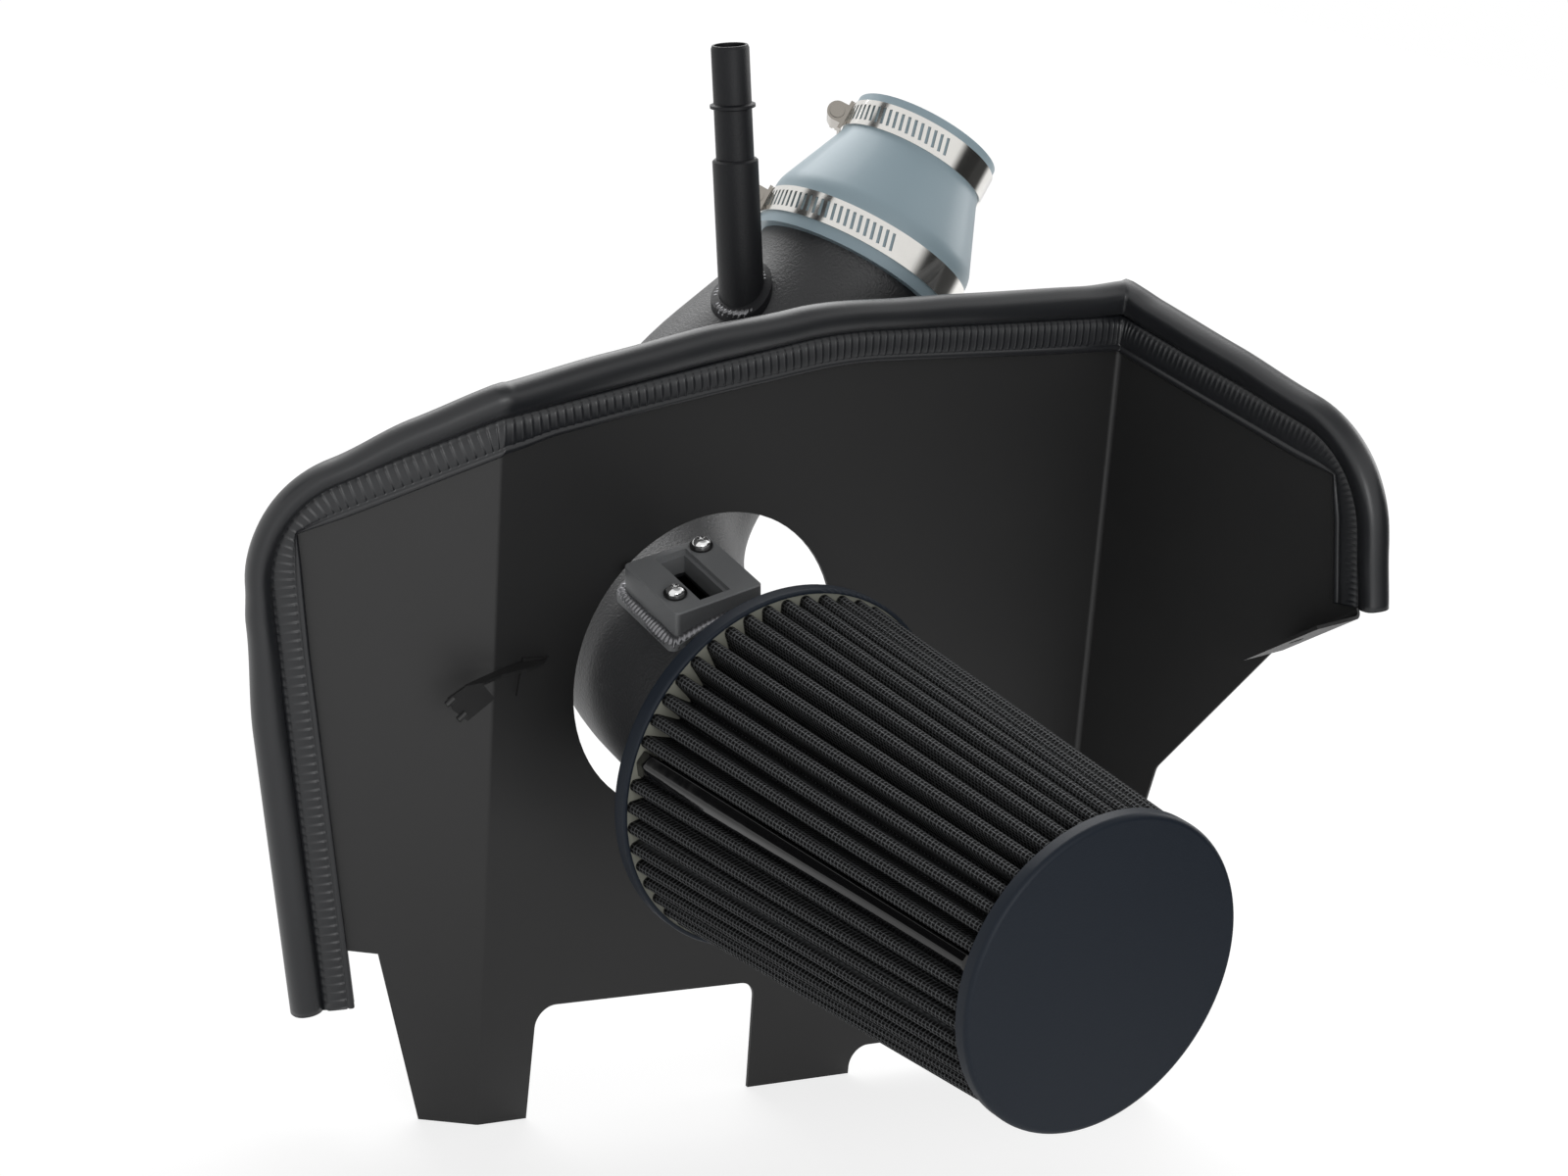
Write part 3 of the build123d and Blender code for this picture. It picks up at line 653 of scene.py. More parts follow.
@dataclass(frozen=True)
class Plate:
    """One flat stretch of the shield, with points given by a level run and a height.

    Attributes:
        foot_x: Where its fold meets the floor, along X.
        turn: Angle of the plate from the main panel, in degrees.
        lean: Lean of the folds, in degrees.
    """

    foot_x: float
    turn: float
    lean: float = 8.6

    @property
    def foot(self) -> np.ndarray:
        """Foot of the fold."""
        return np.array([self.foot_x, 0.0, 0.0])

    @property
    def fold_line(self) -> np.ndarray:
        """Direction of the fold, upwards."""
        return np.array([-math.sin(math.radians(self.lean)), 0.0, math.cos(math.radians(self.lean))])

    @property
    def level(self) -> np.ndarray:
        """Level direction in the plate."""
        return np.array([math.cos(math.radians(self.turn)), -math.sin(math.radians(self.turn)), 0.0])

    @property
    def front(self) -> np.ndarray:
        """Normal of the plate's front face."""
        return unit(np.cross(self.level, self.fold_line))

    def at(self, run: float, height: float, proud: float) -> np.ndarray:
        """Point at a run and a height, and a distance in front of the face."""
        slope = math.tan(math.radians(self.lean))
        return self.foot + np.array([-height * slope, 0.0, height]) + self.level * run + self.front * proud

    def mitre(self, other: "Plate") -> np.ndarray:
        """Normal of the plane that halves the fold between this plate and the next."""
        across = self.level + other.level
        return unit(across - self.fold_line * (across @ self.fold_line))


LEFT_WING = Plate(0.0, 27.5)
MAIN_PANEL = Plate(0.0, 0.0)
RIGHT_WING = Plate(324.3, 80.0)


@dataclass(frozen=True)
class EdgeRun:
    """The seal's path along one plate's edge: a straight, a round corner and a straight.

    Attributes:
        plate: The plate.
        corners: Start, corner and end, each a run and a height.
        radius: Radius of the corner.
        start_cut: Point and normal of the mitre plane at the start, or None.
        end_cut: The same at the end, or None.
        pinched: Whether the grip keeps a sharp inner corner.
        reach: How far the bulb stands out from the sheet's edge, by path length.
        depth: How far the grip reaches over the sheet, by path length.
        roll: How far the bulb is rolled forward, by path length.
        ridge: Share by which the bulb's front ridge stands out of its round, by path length.
        ribbed: Share of the ribs' height left in the middle of the grip.
        low_ribs: Share of the ribs' height at the grip's far side from the bulb.
        rib_pitch: Distance between the ribs.
        half_sheet: Half the thickness of the sheet.
        blend_length: Length beside a fold over which the sections turn into the mitre.
        pinch_depth: Depth at which a pinched corner is fully sharp.
    """

    plate: Plate
    corners: tuple[Pair, ...]
    radius: float
    start_cut: tuple[np.ndarray, np.ndarray] | None
    end_cut: tuple[np.ndarray, np.ndarray] | None
    pinched: bool
    reach: tuple[Pair, ...]
    depth: tuple[Pair, ...]
    roll: tuple[Pair, ...]
    ridge: tuple[Pair, ...]
    ribbed: float
    low_ribs: float
    rib_pitch: float
    half_sheet: float = 0.75
    blend_length: float = 9.0
    pinch_depth: float = 12.0

    def straights(self) -> tuple[np.ndarray, np.ndarray, np.ndarray, np.ndarray, float]:
        """The path's three lines, at the middle of the sheet.

        Returns:
            Start, corner, the two directions, and the turn between them in radians.
        """
        start, corner, end = (self.plate.at(run, height, -self.half_sheet) for run, height in self.corners)
        first, second = unit(corner - start), unit(end - corner)
        return start, corner, first, second, math.acos(float(first @ second))

    def limits(self) -> Pair:
        """Where the run starts and ends, with the mitres taken into account.

        Returns:
            Two path lengths.
        """
        start, corner, first, second, turn = self.straights()
        tangent = self.radius * math.tan(turn / 2)
        leg = float(np.linalg.norm(corner - start)) - tangent
        end = self.plate.at(*self.corners[2], -self.half_sheet)
        total = leg + self.radius * turn + float(np.linalg.norm(end - corner)) - tangent
        low, high = 0.0, total
        if self.start_cut is not None:
            point, normal = self.start_cut
            low = float((point - start) @ normal / (first @ normal))
        if self.end_cut is not None:
            point, normal = self.end_cut
            high = total - float((end - point) @ normal / (second @ normal))
        return low, high

    def sections(self, stations: np.ndarray, outline: np.ndarray) -> np.ndarray:
        """Carries a changing outline along the path.

        The path is the start plus the length along it on the first straight, a circular arc round
        the corner, and a straight again. Within the blend length of a fold each point slides along
        the path by its own share, so that the last section lies in the mitre plane. At a pinched
        corner a point moves in towards the sharp corner by the square of its share of the depth.

        Args:
            stations: Path lengths from the start.
            outline: Stations by points by (outward, forward) offsets.

        Returns:
            Stations by points by three coordinates.
        """
        start, corner, first, second, turn = self.straights()
        radius = self.radius
        tangent = radius * math.tan(turn / 2)
        leg = float(np.linalg.norm(corner - start)) - tangent
        bend = radius * turn
        inward = unit(second - first * (first @ second))
        low, high = self.limits()
        free = np.clip(
            stations,
            low + (self.blend_length if self.start_cut is not None else 0.0),
            high - (self.blend_length if self.end_cut is not None else 0.0),
        )
        angle = np.clip((free - leg) / radius, 0.0, turn)[:, None]
        before = np.minimum(free, leg)[:, None]
        after = np.maximum(free - leg - bend, 0.0)[:, None]
        arc = np.sin(angle) * first + (1 - np.cos(angle)) * inward
        centre = start + first * before + radius * arc + second * after
        way = np.cos(angle) * first + np.sin(angle) * inward
        outward = -np.cross(way, self.plate.front)
        offset, forward = outline[..., 0].copy(), outline[..., 1]
        if self.pinched:
            near = np.minimum(angle, turn - angle)
            sharp = (radius + offset) / np.cos(near) - radius
            offset += (sharp - offset) * np.clip(-offset / self.pinch_depth, 0.0, 1.0) ** 2
        points = centre[:, None] + offset[..., None] * outward[:, None]
        points = points + forward[..., None] * self.plate.front
        for cut, edge, direction in ((self.start_cut, low, first), (self.end_cut, high, second)):
            if cut is None:
                continue
            reach = (cut[0] - points) @ cut[1] / (direction @ cut[1])
            share = np.clip(1 - np.abs(stations - edge) / self.blend_length, 0.0, 1.0)[:, None]
            points = points + (reach * share)[..., None] * direction
        return points


@dataclass
class EdgeSeal:
    """Rubber seal on the shield's edge: ribbed grip and hollow bulb.

    Attributes:
        palette: The finishes' materials.
        bulb_radius: Radius of the bulb where it is round.
        bulb_wall: Wall of the bulb.
        bulb_points: Points round the bulb.
        bulb_step: Distance between the bulb's sections.
        round_reach: Reach at which the bulb is round; it flattens below it.
        widening: Share of the further reach that the half-width outward gains.
        flattening: Share of it that the half-width forward loses.
        swell: Waves in the bulb's thickness.
        ridge_angle: Direction of the bulb's ridge from outward to forward, in radians.
        ridge_width: Width of the ridge's bell curve, in radians.
        roll_back: Share of the roll by which the bulb's middle moves in.
        grip_depth: Depth for which the grip's outline is given.
        inner_end: Where the grip's inner face ends over the sheet.
        inner_gap: Distance of the grip's inner face from the sheet's middle.
        pad_end: Where the ribbed pad ends over the sheet.
        pad_long: Length of the pad.
        rib: Height of a rib.
        rib_width: Width of a rib's bell curve.
        furrow: Depth of the furrow beside a rib, as a share of the rib.
        furrow_place: Distance of the furrow from the rib.
        furrow_width: Width of the furrow's bell curve.
        end_margin: Least distance of a rib's section from a run's end.
    """

    palette: Palette
    bulb_radius: float = 6.8
    bulb_wall: float = 1.9
    bulb_points: int = 40
    bulb_step: float = 2.6
    round_reach: float = 14.6
    widening: float = 0.33
    flattening: float = 0.12
    swell: tuple[Triple, ...] = ((0.08, 17.0, 0.0), (0.06, 6.3, 1.0))
    ridge_angle: float = 1.15
    ridge_width: float = 0.42
    roll_back: float = 0.3
    grip_depth: float = 12.4
    inner_end: float = -12.0
    inner_gap: float = 0.85
    pad_end: float = -9.0
    pad_long: float = 8.1
    rib: float = 0.46
    rib_width: float = 0.42
    furrow: float = 0.7
    furrow_place: float = 0.95
    furrow_width: float = 0.4
    end_margin: float = 0.3

    def runs(self) -> list[EdgeRun]:
        """The seal's path on the left wing, the main panel and the right wing.

        Returns:
            The three runs, in order.
        """
        left_cut = (LEFT_WING.foot, LEFT_WING.mitre(MAIN_PANEL))
        right_cut = (RIGHT_WING.foot, MAIN_PANEL.mitre(RIGHT_WING))
        return [
            EdgeRun(
                LEFT_WING,
                ((-64.2, 47.0), (-92.4, 256.4), (0.0, 307.0)),
                42.0,
                None,
                left_cut,
                True,
                reach=(
                    (0, 14.7), (125, 14.7), (172, 11.8), (188, 10.2),
                    (208, 9.6), (240, 9.8), (275, 13.2), (310, 14.4),
                ),
                depth=((0, 11.6), (150, 11.6), (205, 12.6), (240, 13.5), (310, 13.2)),
                roll=((0, 0.0), (310, 0.0)),
                ridge=((0, 0.05), (310, 0.05)),
                ribbed=0.35,
                low_ribs=1.0,
                rib_pitch=3.8,
            ),
            EdgeRun(
                MAIN_PANEL,
                ((0.0, 307.0), (165.0, 347.0), (324.3, 359.0)),
                250.0,
                left_cut,
                right_cut,
                False,
                reach=(
                    (0, 14.4), (50, 16.2), (95, 17.0), (140, 15.4),
                    (185, 13.6), (225, 14.4), (295, 15.3), (330, 17.6),
                ),
                depth=((0, 13.2), (25, 11.0), (60, 10.8), (165, 12.4), (300, 13.9), (330, 14.2)),
                roll=((0, 0.0), (330, 0.0)),
                ridge=((0, 0.05), (280, 0.04), (330, 0.10)),
                ribbed=0.3,
                low_ribs=0.9,
                rib_pitch=3.8,
            ),
            EdgeRun(
                RIGHT_WING,
                ((0.0, 359.0), (132.2, 334.5), (140.4, 271.0)),
                42.0,
                right_cut,
                None,
                True,
                reach=(
                    (0, 17.6), (16, 16.7), (60, 16.2), (98, 15.2),
                    (130, 14.6), (160, 13.8), (191, 13.0),
                ),
                depth=((0, 14.2), (60, 14.6), (104, 14.8), (135, 13.2), (160, 12.2), (191, 11.8)),
                roll=((0, 0.0), (60, 0.8), (104, 2.0), (140, 2.6), (165, 1.6), (191, 0.2)),
                ridge=((0, 0.14), (30, 0.17), (110, 0.15), (191, 0.13)),
                ribbed=0.06,
                low_ribs=0.1,
                rib_pitch=2.75,
            ),
        ]

    def bulb_outline(self, run: EdgeRun, wall: float, stations: np.ndarray) -> np.ndarray:
        """Oval round the bulb's middle, with a soft ridge at its front.

        The half-width outward grows with the reach and the half-width forward shrinks with it.
        The ridge is a bell curve over the angle from outward to forward.

        Args:
            run: The run of the path.
            wall: Distance of the outline inside the bulb's skin.
            stations: Path lengths.

        Returns:
            Stations by points by two offsets.
        """
        angle = np.linspace(-math.pi, math.pi, self.bulb_points, endpoint=False)
        extra = eased(stations, run.reach) - self.round_reach
        half_out = self.bulb_radius + self.widening * extra
        half_front = self.bulb_radius - self.flattening * extra + waves(stations, self.swell)
        middle = self.round_reach + extra - half_out
        roll = eased(stations, run.roll)
        bell = np.exp(-(((angle - self.ridge_angle) / self.ridge_width) ** 2))
        lift = 1 + eased(stations, run.ridge)[:, None] * bell
        across = (half_out - wall)[:, None] * np.cos(angle) * lift
        across = across + (middle - self.roll_back * roll)[:, None]
        forward = (half_front - wall)[:, None] * np.sin(angle) * lift + roll[:, None]
        return np.stack([across, forward], axis=-1)

    def grip_outline(self, run: EdgeRun, stations: np.ndarray) -> tuple[np.ndarray, np.ndarray]:
        """Outer and inner outline of the grip, with its ribs.

        A rib is a bell curve along the path with a shallow furrow after it, at each whole rib
        pitch, and is higher at the two ends of the pad than in its middle.

        Args:
            run: The run of the path.
            stations: Path lengths.

        Returns:
            Two arrays of stations by points by two offsets.
        """
        side = [(-12.0, 1.0), (-12.4, 1.9), (-12.3, 3.3), (-11.6, 4.0)]
        side += [(-10.6, 4.1), (-9.9, 3.7), (-9.5, 3.2)]
        pads = [(-9.0, 3.45), (-7.6, 3.7), (-5.6, 3.75), (-3.4, 3.6), (-1.6, 3.3), (-0.9, 3.0)]
        crown = [(-0.2, 2.6), (1.4, 2.3)]
        front = side + pads + crown
        outer = np.array(front + [(2.0, 0.0)] + [(o, -n) for o, n in reversed(front)])
        inner = [np.clip(outer[:, 0], self.inner_end, 0.1), self.inner_gap * np.sign(outer[:, 1])]
        phase = ((stations / run.rib_pitch + 0.5) % 1.0 - 0.5) * run.rib_pitch
        furrow = np.exp(-(((phase - self.furrow_place) / self.furrow_width) ** 2))
        height = self.rib * (np.exp(-((phase / self.rib_width) ** 2)) - self.furrow * furrow)
        place = np.clip((outer[:, 0] - self.pad_end) / self.pad_long, 0.0, 1.0)
        on_pad = np.repeat([False, True, False], [len(side), len(pads), len(crown)])
        weight = run.ribbed + (1 - run.ribbed) * np.abs(2 * place - 1) ** 1.5
        weight *= np.concatenate([on_pad, [False], on_pad[::-1]])
        weight *= np.where(place < 0.5, run.low_ribs, 1.0)
        shaped = np.repeat(outer[None], len(stations), axis=0)
        shaped[..., 1] += height[:, None] * weight * np.sign(outer[:, 1])
        walls = np.repeat(np.stack(inner, axis=1)[None], len(stations), axis=0)
        scale = (eased(stations, run.depth) / self.grip_depth)[:, None]
        for outline in (shaped, walls):
            outline[..., 0] = np.where(outline[..., 0] < 0, outline[..., 0] * scale, outline[..., 0])
        return shaped, walls

    def stations(self, run: EdgeRun, fine: bool) -> np.ndarray:
        """Path lengths of a run's sections: close together at the ribs, or even for the bulb.

        Args:
            run: The run of the path.
            fine: Whether this is the grip, and not the bulb.

        Returns:
            The path lengths, rising.
        """
        low, high = run.limits()
        if not fine:
            return np.linspace(low, high, int((high - low) / self.bulb_step) + 2)
        spots = np.array([-0.8, -0.4, 0.0, 0.4, 0.9, 1.4])
        first, last = math.floor(low / run.rib_pitch), math.ceil(high / run.rib_pitch)
        every = (np.arange(first, last + 1)[:, None] * run.rib_pitch + spots).ravel()
        every = every[(every > low + self.end_margin) & (every < high - self.end_margin)]
        return np.concatenate([[low], np.sort(every), [high]])

    def carried(self, fine: bool, which: int) -> np.ndarray:
        """One outline carried along all three runs, joined at the mitres.

        Args:
            fine: Whether this is the grip, and not the bulb.
            which: 0 for the outer outline and 1 for the inner one.

        Returns:
            Stations by points by three coordinates.
        """
        grids: list[np.ndarray] = []
        for run in self.runs():
            spots = self.stations(run, fine)
            if fine:
                outline = self.grip_outline(run, spots)[which]
            else:
                outline = self.bulb_outline(run, which * self.bulb_wall, spots)
            grid = run.sections(spots, outline)
            if grids:
                grids[-1][-1] = (grids[-1][-1] + grid[0]) / 2
                grid = grid[1:]
            grids.append(grid)
        return np.concatenate(grids)

    def build(self) -> list[bpy.types.Object]:
        """Makes the bulb and the grip, which stand for the seal's solid.

        Returns:
            The two pieces.
        """
        bulb, grip = Skin.empty(), Skin.empty()
        outer, inner = self.carried(False, 0), self.carried(False, 1)
        rows, columns = outer.shape[:2]
        first = bulb.add_grid(outer)
        second = bulb.add_grid(inner, flip=True)
        ring, last = np.arange(columns), (rows - 1) * columns
        bulb.join_rows(second + ring, first + ring, True)
        bulb.join_rows(first + last + ring, second + last + ring, True)
        grip.add_wall(self.carried(True, 0), self.carried(True, 1))
        pieces = [bulb.build("seal_bulb"), grip.build("seal_grip")]
        for piece in pieces:
            self.palette.dress(piece, Finish.SEAL)
            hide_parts("edge_seal")
            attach(piece, "root")
        return pieces


@dataclass
class ConeFilter:
    """Pleated cone between its base and its cap, with the label strip.

    Attributes:
        palette: The finishes' materials.
        middle: Middle of the base's face.
        yaw: Turn of the axis from -Y, in degrees.
        droop: Drop of the axis, in degrees.
        pleats: Number of pleats round the cone, the strip's place among them.
        root_radius: Crest radius at the base.
        tip_radius: Crest radius at the cap.
        root_depth: Pleat depth at the base.
        tip_depth: Pleat depth at the cap.
        start: Where the pleats start from the base's face.
        end: Where they end.
        strip_angle: Angle of the strip round the axis, in degrees.
        skin: Thickness of the medium's skin in the valleys.
        crest_skin: What the crests are thicker by.
        rows: Rows of points from base to cap.
        crest_width: Half the width of a crest, as a share of a pleat.
        crest_drop: Share of the depth by which a crest's sides lie lower.
        flank: Rows of a share of the pleat and a share of the depth, down one side.
        height_play: Least and greatest height that a crest gains.
        lean_play: Most that a crest leans, as a share of a pleat.
        wave_play: Height of the sideways wave, as a share of a pleat.
        wave_turn: Turn of that wave from base to cap, in radians.
        strip_wide: Width of the strip, in pleats.
        strip_drop: Distance of its ridge below the crests.
        strip_slope: Fall from its ridge to its sides.
        strip_round: Square of the share of the half-width over which the ridge is round.
        strip_crest: Place of the ridge across the strip, and how far it wanders each way.
        strip_film: Thickness of the strip.
    """

    palette: Palette
    middle: Triple = NECK
    yaw: float = 1.1
    droop: float = 0.6
    pleats: int = 50
    root_radius: float = 74.2
    tip_radius: float = 60.3
    root_depth: float = 13.0
    tip_depth: float = 10.5
    start: float = 1.6
    end: float = 191.5
    strip_angle: float = 175.0
    skin: float = 3.4
    crest_skin: float = 1.2
    rows: int = 48
    crest_width: float = 0.27
    crest_drop: float = 0.16
    flank: tuple[Pair, ...] = (
        (0.31, 0.62), (0.36, 0.38), (0.41, 0.16), (0.45, 0.03), (0.5, 0.0),
    )
    height_play: Pair = (-0.45, 0.1)
    lean_play: float = 0.05
    wave_play: float = 0.035
    wave_turn: float = 4.2
    strip_wide: float = 1.15
    strip_drop: float = 0.9
    strip_slope: float = 2.3
    strip_round: float = 0.005
    strip_crest: Pair = (-0.12, 0.10)
    strip_film: float = 0.5

    def axes(self) -> tuple[np.ndarray, np.ndarray, np.ndarray]:
        """The filter's own directions.

        Returns:
            Its X, its Y and its axis.
        """
        yaw, droop = math.radians(self.yaw), math.radians(self.droop)
        axis = unit(np.array([-math.sin(yaw), -1.0, -math.sin(droop)]))
        first = unit(np.array([1.0, 0.0, 0.0]) - axis * axis[0])
        return first, np.cross(axis, first), axis

    def place(self, radius: np.ndarray, angle: np.ndarray, along: np.ndarray) -> np.ndarray:
        """Points of the cone.

        Args:
            radius: Distances from the axis.
            angle: Angles from the strip's middle, in radians.
            along: Distances from the base.

        Returns:
            One point for each.
        """
        first, second, axis = self.axes()
        turn = angle + math.radians(self.strip_angle)
        around = np.cos(turn)[..., None] * first + np.sin(turn)[..., None] * second
        return np.array(self.middle) + radius[..., None] * around + along[..., None] * axis

    @staticmethod
    def taper(root: float, tip: float, way: np.ndarray) -> np.ndarray:
        """Value that runs straight from the base to the cap."""
        return root + (tip - root) * way

    def pleat_profile(self) -> tuple[np.ndarray, np.ndarray, np.ndarray]:
        """One row of points round the cone.

        The crest is a half-round, the flank is straight and steep, and the valley is narrow.

        Returns:
            Angles, crest shares and pleat numbers.
        """
        bend = np.linspace(-1, 1, 9) * math.pi / 2
        crest_angle = self.crest_width * np.sin(bend)
        crest_share = 1 - self.crest_drop * (1 - np.cos(bend))
        flank_angle, flank_share = np.array(self.flank).T
        angle = np.concatenate([-flank_angle[:-1][::-1], crest_angle, flank_angle])
        share = np.concatenate([flank_share[:-1][::-1], crest_share, flank_share])
        number = np.arange(1, self.pleats)
        angles = (number[:, None] + angle) * 2 * math.pi / self.pleats
        return angles.ravel(), np.tile(share, len(number)), np.repeat(number, len(angle))

    def media(self) -> bpy.types.Object:
        """Pleated medium as a closed skin, each pleat a little uneven.

        Radius is the valley radius plus the crest share times the depth, both running straight
        from base to cap, and each pleat drifts sideways by a slow wave with its own phase.

        Returns:
            The piece.
        """
        angles, share, number = self.pleat_profile()
        way = np.linspace(0, 1, self.rows)[:, None]
        crest = self.taper(self.root_radius, self.tip_radius, way)
        depth = self.taper(self.root_depth, self.tip_depth, way)
        dice = np.random.default_rng(4)
        phase = dice.uniform(0, 2 * math.pi, self.pleats)[number]
        height = dice.uniform(*self.height_play, self.pleats)[number]
        lean = dice.uniform(-self.lean_play, self.lean_play, self.pleats)[number]
        bow = np.sin(math.pi * way)
        drift = self.wave_play * np.sin(self.wave_turn * way + phase) * bow + lean * bow
        turn = angles + drift * share * 2 * math.pi / self.pleats
        radius = crest - depth * (1 - share) + height * share
        along = self.taper(self.start, self.end, way) + 0 * radius
        outer = self.place(radius, turn, along)
        inner = self.place(radius - self.skin - self.crest_skin * share, turn, along)
        step = np.linalg.norm(np.diff(outer, axis=1, append=outer[:, :1]), axis=-1)
        across = np.cumsum(step[:1], axis=1) + 0 * radius
        skin = Skin.empty()
        columns = outer.shape[1]
        first = skin.add_grid(outer, np.stack([across, along], axis=-1), flip=True)
        second = skin.add_grid(inner[[0, -1]])
        ring = np.arange(columns)
        skin.join_rows(first + ring, second + ring, True)
        skin.join_rows(second + columns + ring, first + (self.rows - 1) * columns + ring, True)
        piece = skin.build("pleated_media")
        self.palette.dress(piece, Finish.MEDIA)
        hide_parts("filter_media")
        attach(piece, "root")
        return piece

    def strip(self) -> bpy.types.Object:
        """Glossy strip folded over one pleat: two slopes that meet in a round ridge.

        Height falls from the ridge with the distance across, straight, rounded near the ridge by
        the square root of the distance squared plus a small square.

        Returns:
            The piece.
        """
        way = np.linspace(0, 1, 40)[:, None]
        across = np.linspace(-1, 1, 15)
        crest = self.taper(self.root_radius, self.tip_radius, way)
        half = crest * math.pi / self.pleats * self.strip_wide
        ridge = self.strip_crest[0] + self.strip_crest[1] * np.sin(5.0 * way + 0.6)
        top = crest - self.strip_drop
        top = top - self.strip_slope * np.sqrt((across - ridge) ** 2 + self.strip_round)
        along = self.taper(self.start, self.end, way) + 0 * top
        angle = across * half / crest
        skin = Skin.empty()
        outer = self.place(top, angle, along)
        skin.add_wall(outer, self.place(top - self.strip_film, angle, along), flip=True)
        piece = skin.build("label_film")
        self.palette.dress(piece, Finish.FILM)
        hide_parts("label_strip")
        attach(piece, "root")
        return piece


@dataclass
class IntakeTube:
    """The bent tube's centre line, and the weld beads on it.

    Attributes:
        palette: The finishes' materials.
        neck: Start of the tube at the filter.
        radius: Outer radius.
        legs: Lengths of the three legs up to the corners and the end.
        bends: Radii of the two bends.
        flange_station: Distance of the sensor flange from the start.
        flange_lean: Lean of the flange to the left, in degrees.
        flange_long: Length of the flange.
        flange_wide: Width of the flange.
        flange_gap: Distance of its bead's path outside its sides.
        flange_corner: Corner radius of that path.
        flange_lift: Height of that path over the tube.
        vent_radius: Outer radius of the vent tube.
        vent_station: Distance of the vent tube along the middle leg.
        vent_aside: Its foot's distance from the centre line.
        vent_way: Its direction.
        vent_gap: Distance of its bead's path outside it.
        vent_lift: Height of that path over the tube.
        flange_bead: Radius of the flange's bead.
        vent_bead: Radius of the vent tube's bead.
        ripple_pitch: Distance between the ripples of a bead.
        ripple_low: Share of a bead's radius left between its ripples.
        ripple_high: Share that a ripple adds.
        ripple_lean: How far a ripple trails at the bead's side, in ripples.
    """

    palette: Palette
    neck: Triple = NECK
    radius: float = 44.45
    legs: Triple = (187.5, 167.4, 38.0)
    bends: Pair = (126.0, 93.0)
    flange_station: float = 67.5
    flange_lean: float = 19.6
    flange_long: float = 42.0
    flange_wide: float = 40.0
    flange_gap: float = 0.9
    flange_corner: float = 3.0
    flange_lift: float = 0.7
    vent_radius: float = 10.0
    vent_station: float = 125.0
    vent_aside: Triple = (-17.0, -12.0, 0.0)
    vent_way: Triple = (-0.21, 0.105, 1.0)
    vent_gap: float = 0.8
    vent_lift: float = 0.4
    flange_bead: float = 2.9
    vent_bead: float = 2.6
    ripple_pitch: float = 2.1
    ripple_low: float = 0.84
    ripple_high: float = 0.22
    ripple_lean: float = 0.55

    def ways(self) -> tuple[np.ndarray, np.ndarray, np.ndarray]:
        """Directions of the tube's three legs."""
        return heading(89.5, 10.4), heading(-1.4, 40.7), heading(12.9, 60.6)

    def corners(self) -> tuple[np.ndarray, np.ndarray]:
        """Where the legs' lines meet, at the first bend and at the second."""
        first = np.array(self.neck) + self.legs[0] * self.ways()[0]
        return first, first + self.legs[1] * self.ways()[1]

    def centre_line(self) -> np.ndarray:
        """Closely spaced points on the centre line, straights and arcs.

        Returns:
            The points, in order.
        """
        ways, corners = self.ways(), self.corners()
        rows = [np.array(self.neck)[None]]
        for corner, before, after, radius in zip(corners, ways, ways[1:], self.bends):
            turn = math.acos(float(before @ after))
            angle = np.linspace(0, turn, 90)[:, None]
            inward = unit(after - before * (before @ after))
            start = corner - before * radius * math.tan(turn / 2)
            rows.append(start + radius * (np.sin(angle) * before + (1 - np.cos(angle)) * inward))
        rows.append((corners[1] + self.legs[2] * ways[2])[None])
        sparse = np.concatenate(rows)
        lengths = path_lengths(sparse)
        return read_off(np.arange(0.0, lengths[-1], 0.8), lengths, sparse)

    def bead_skin(self, path: np.ndarray, up: np.ndarray, out: np.ndarray, size: np.ndarray) -> Skin:
        """A closed, rippled bead of weld round a path.

        The section is a circle, whose radius falls at each ripple by a half-sine that leans with
        the angle round the bead, as overlapping puddles do.

        Args:
            path: Points of the closed path.
            up: Unit normal of the tube at each point.
            out: Unit direction away from the welded piece at each point.
            size: Radius of the bead at each point.

        Returns:
            The bead's skin.
        """
        lengths = path_lengths(np.concatenate([path, path[:1]]))
        angle = np.linspace(0, 2 * math.pi, 18, endpoint=False)
        count = round(float(lengths[-1]) / self.ripple_pitch)
        turns = lengths[:-1, None] / lengths[-1] * count
        ripple = np.abs(np.sin(math.pi * (turns - self.ripple_lean * np.sin(angle)[None])))
        radius = size[:, None] * (self.ripple_low + self.ripple_high * ripple)
        ring = np.cos(angle)[None, :, None] * out[:, None] + np.sin(angle)[None, :, None] * up[:, None]
        grid = path[:, None] + radius[..., None] * ring
        skin = Skin.empty()
        skin.add_grid(np.concatenate([grid, grid[:1]]))
        return skin

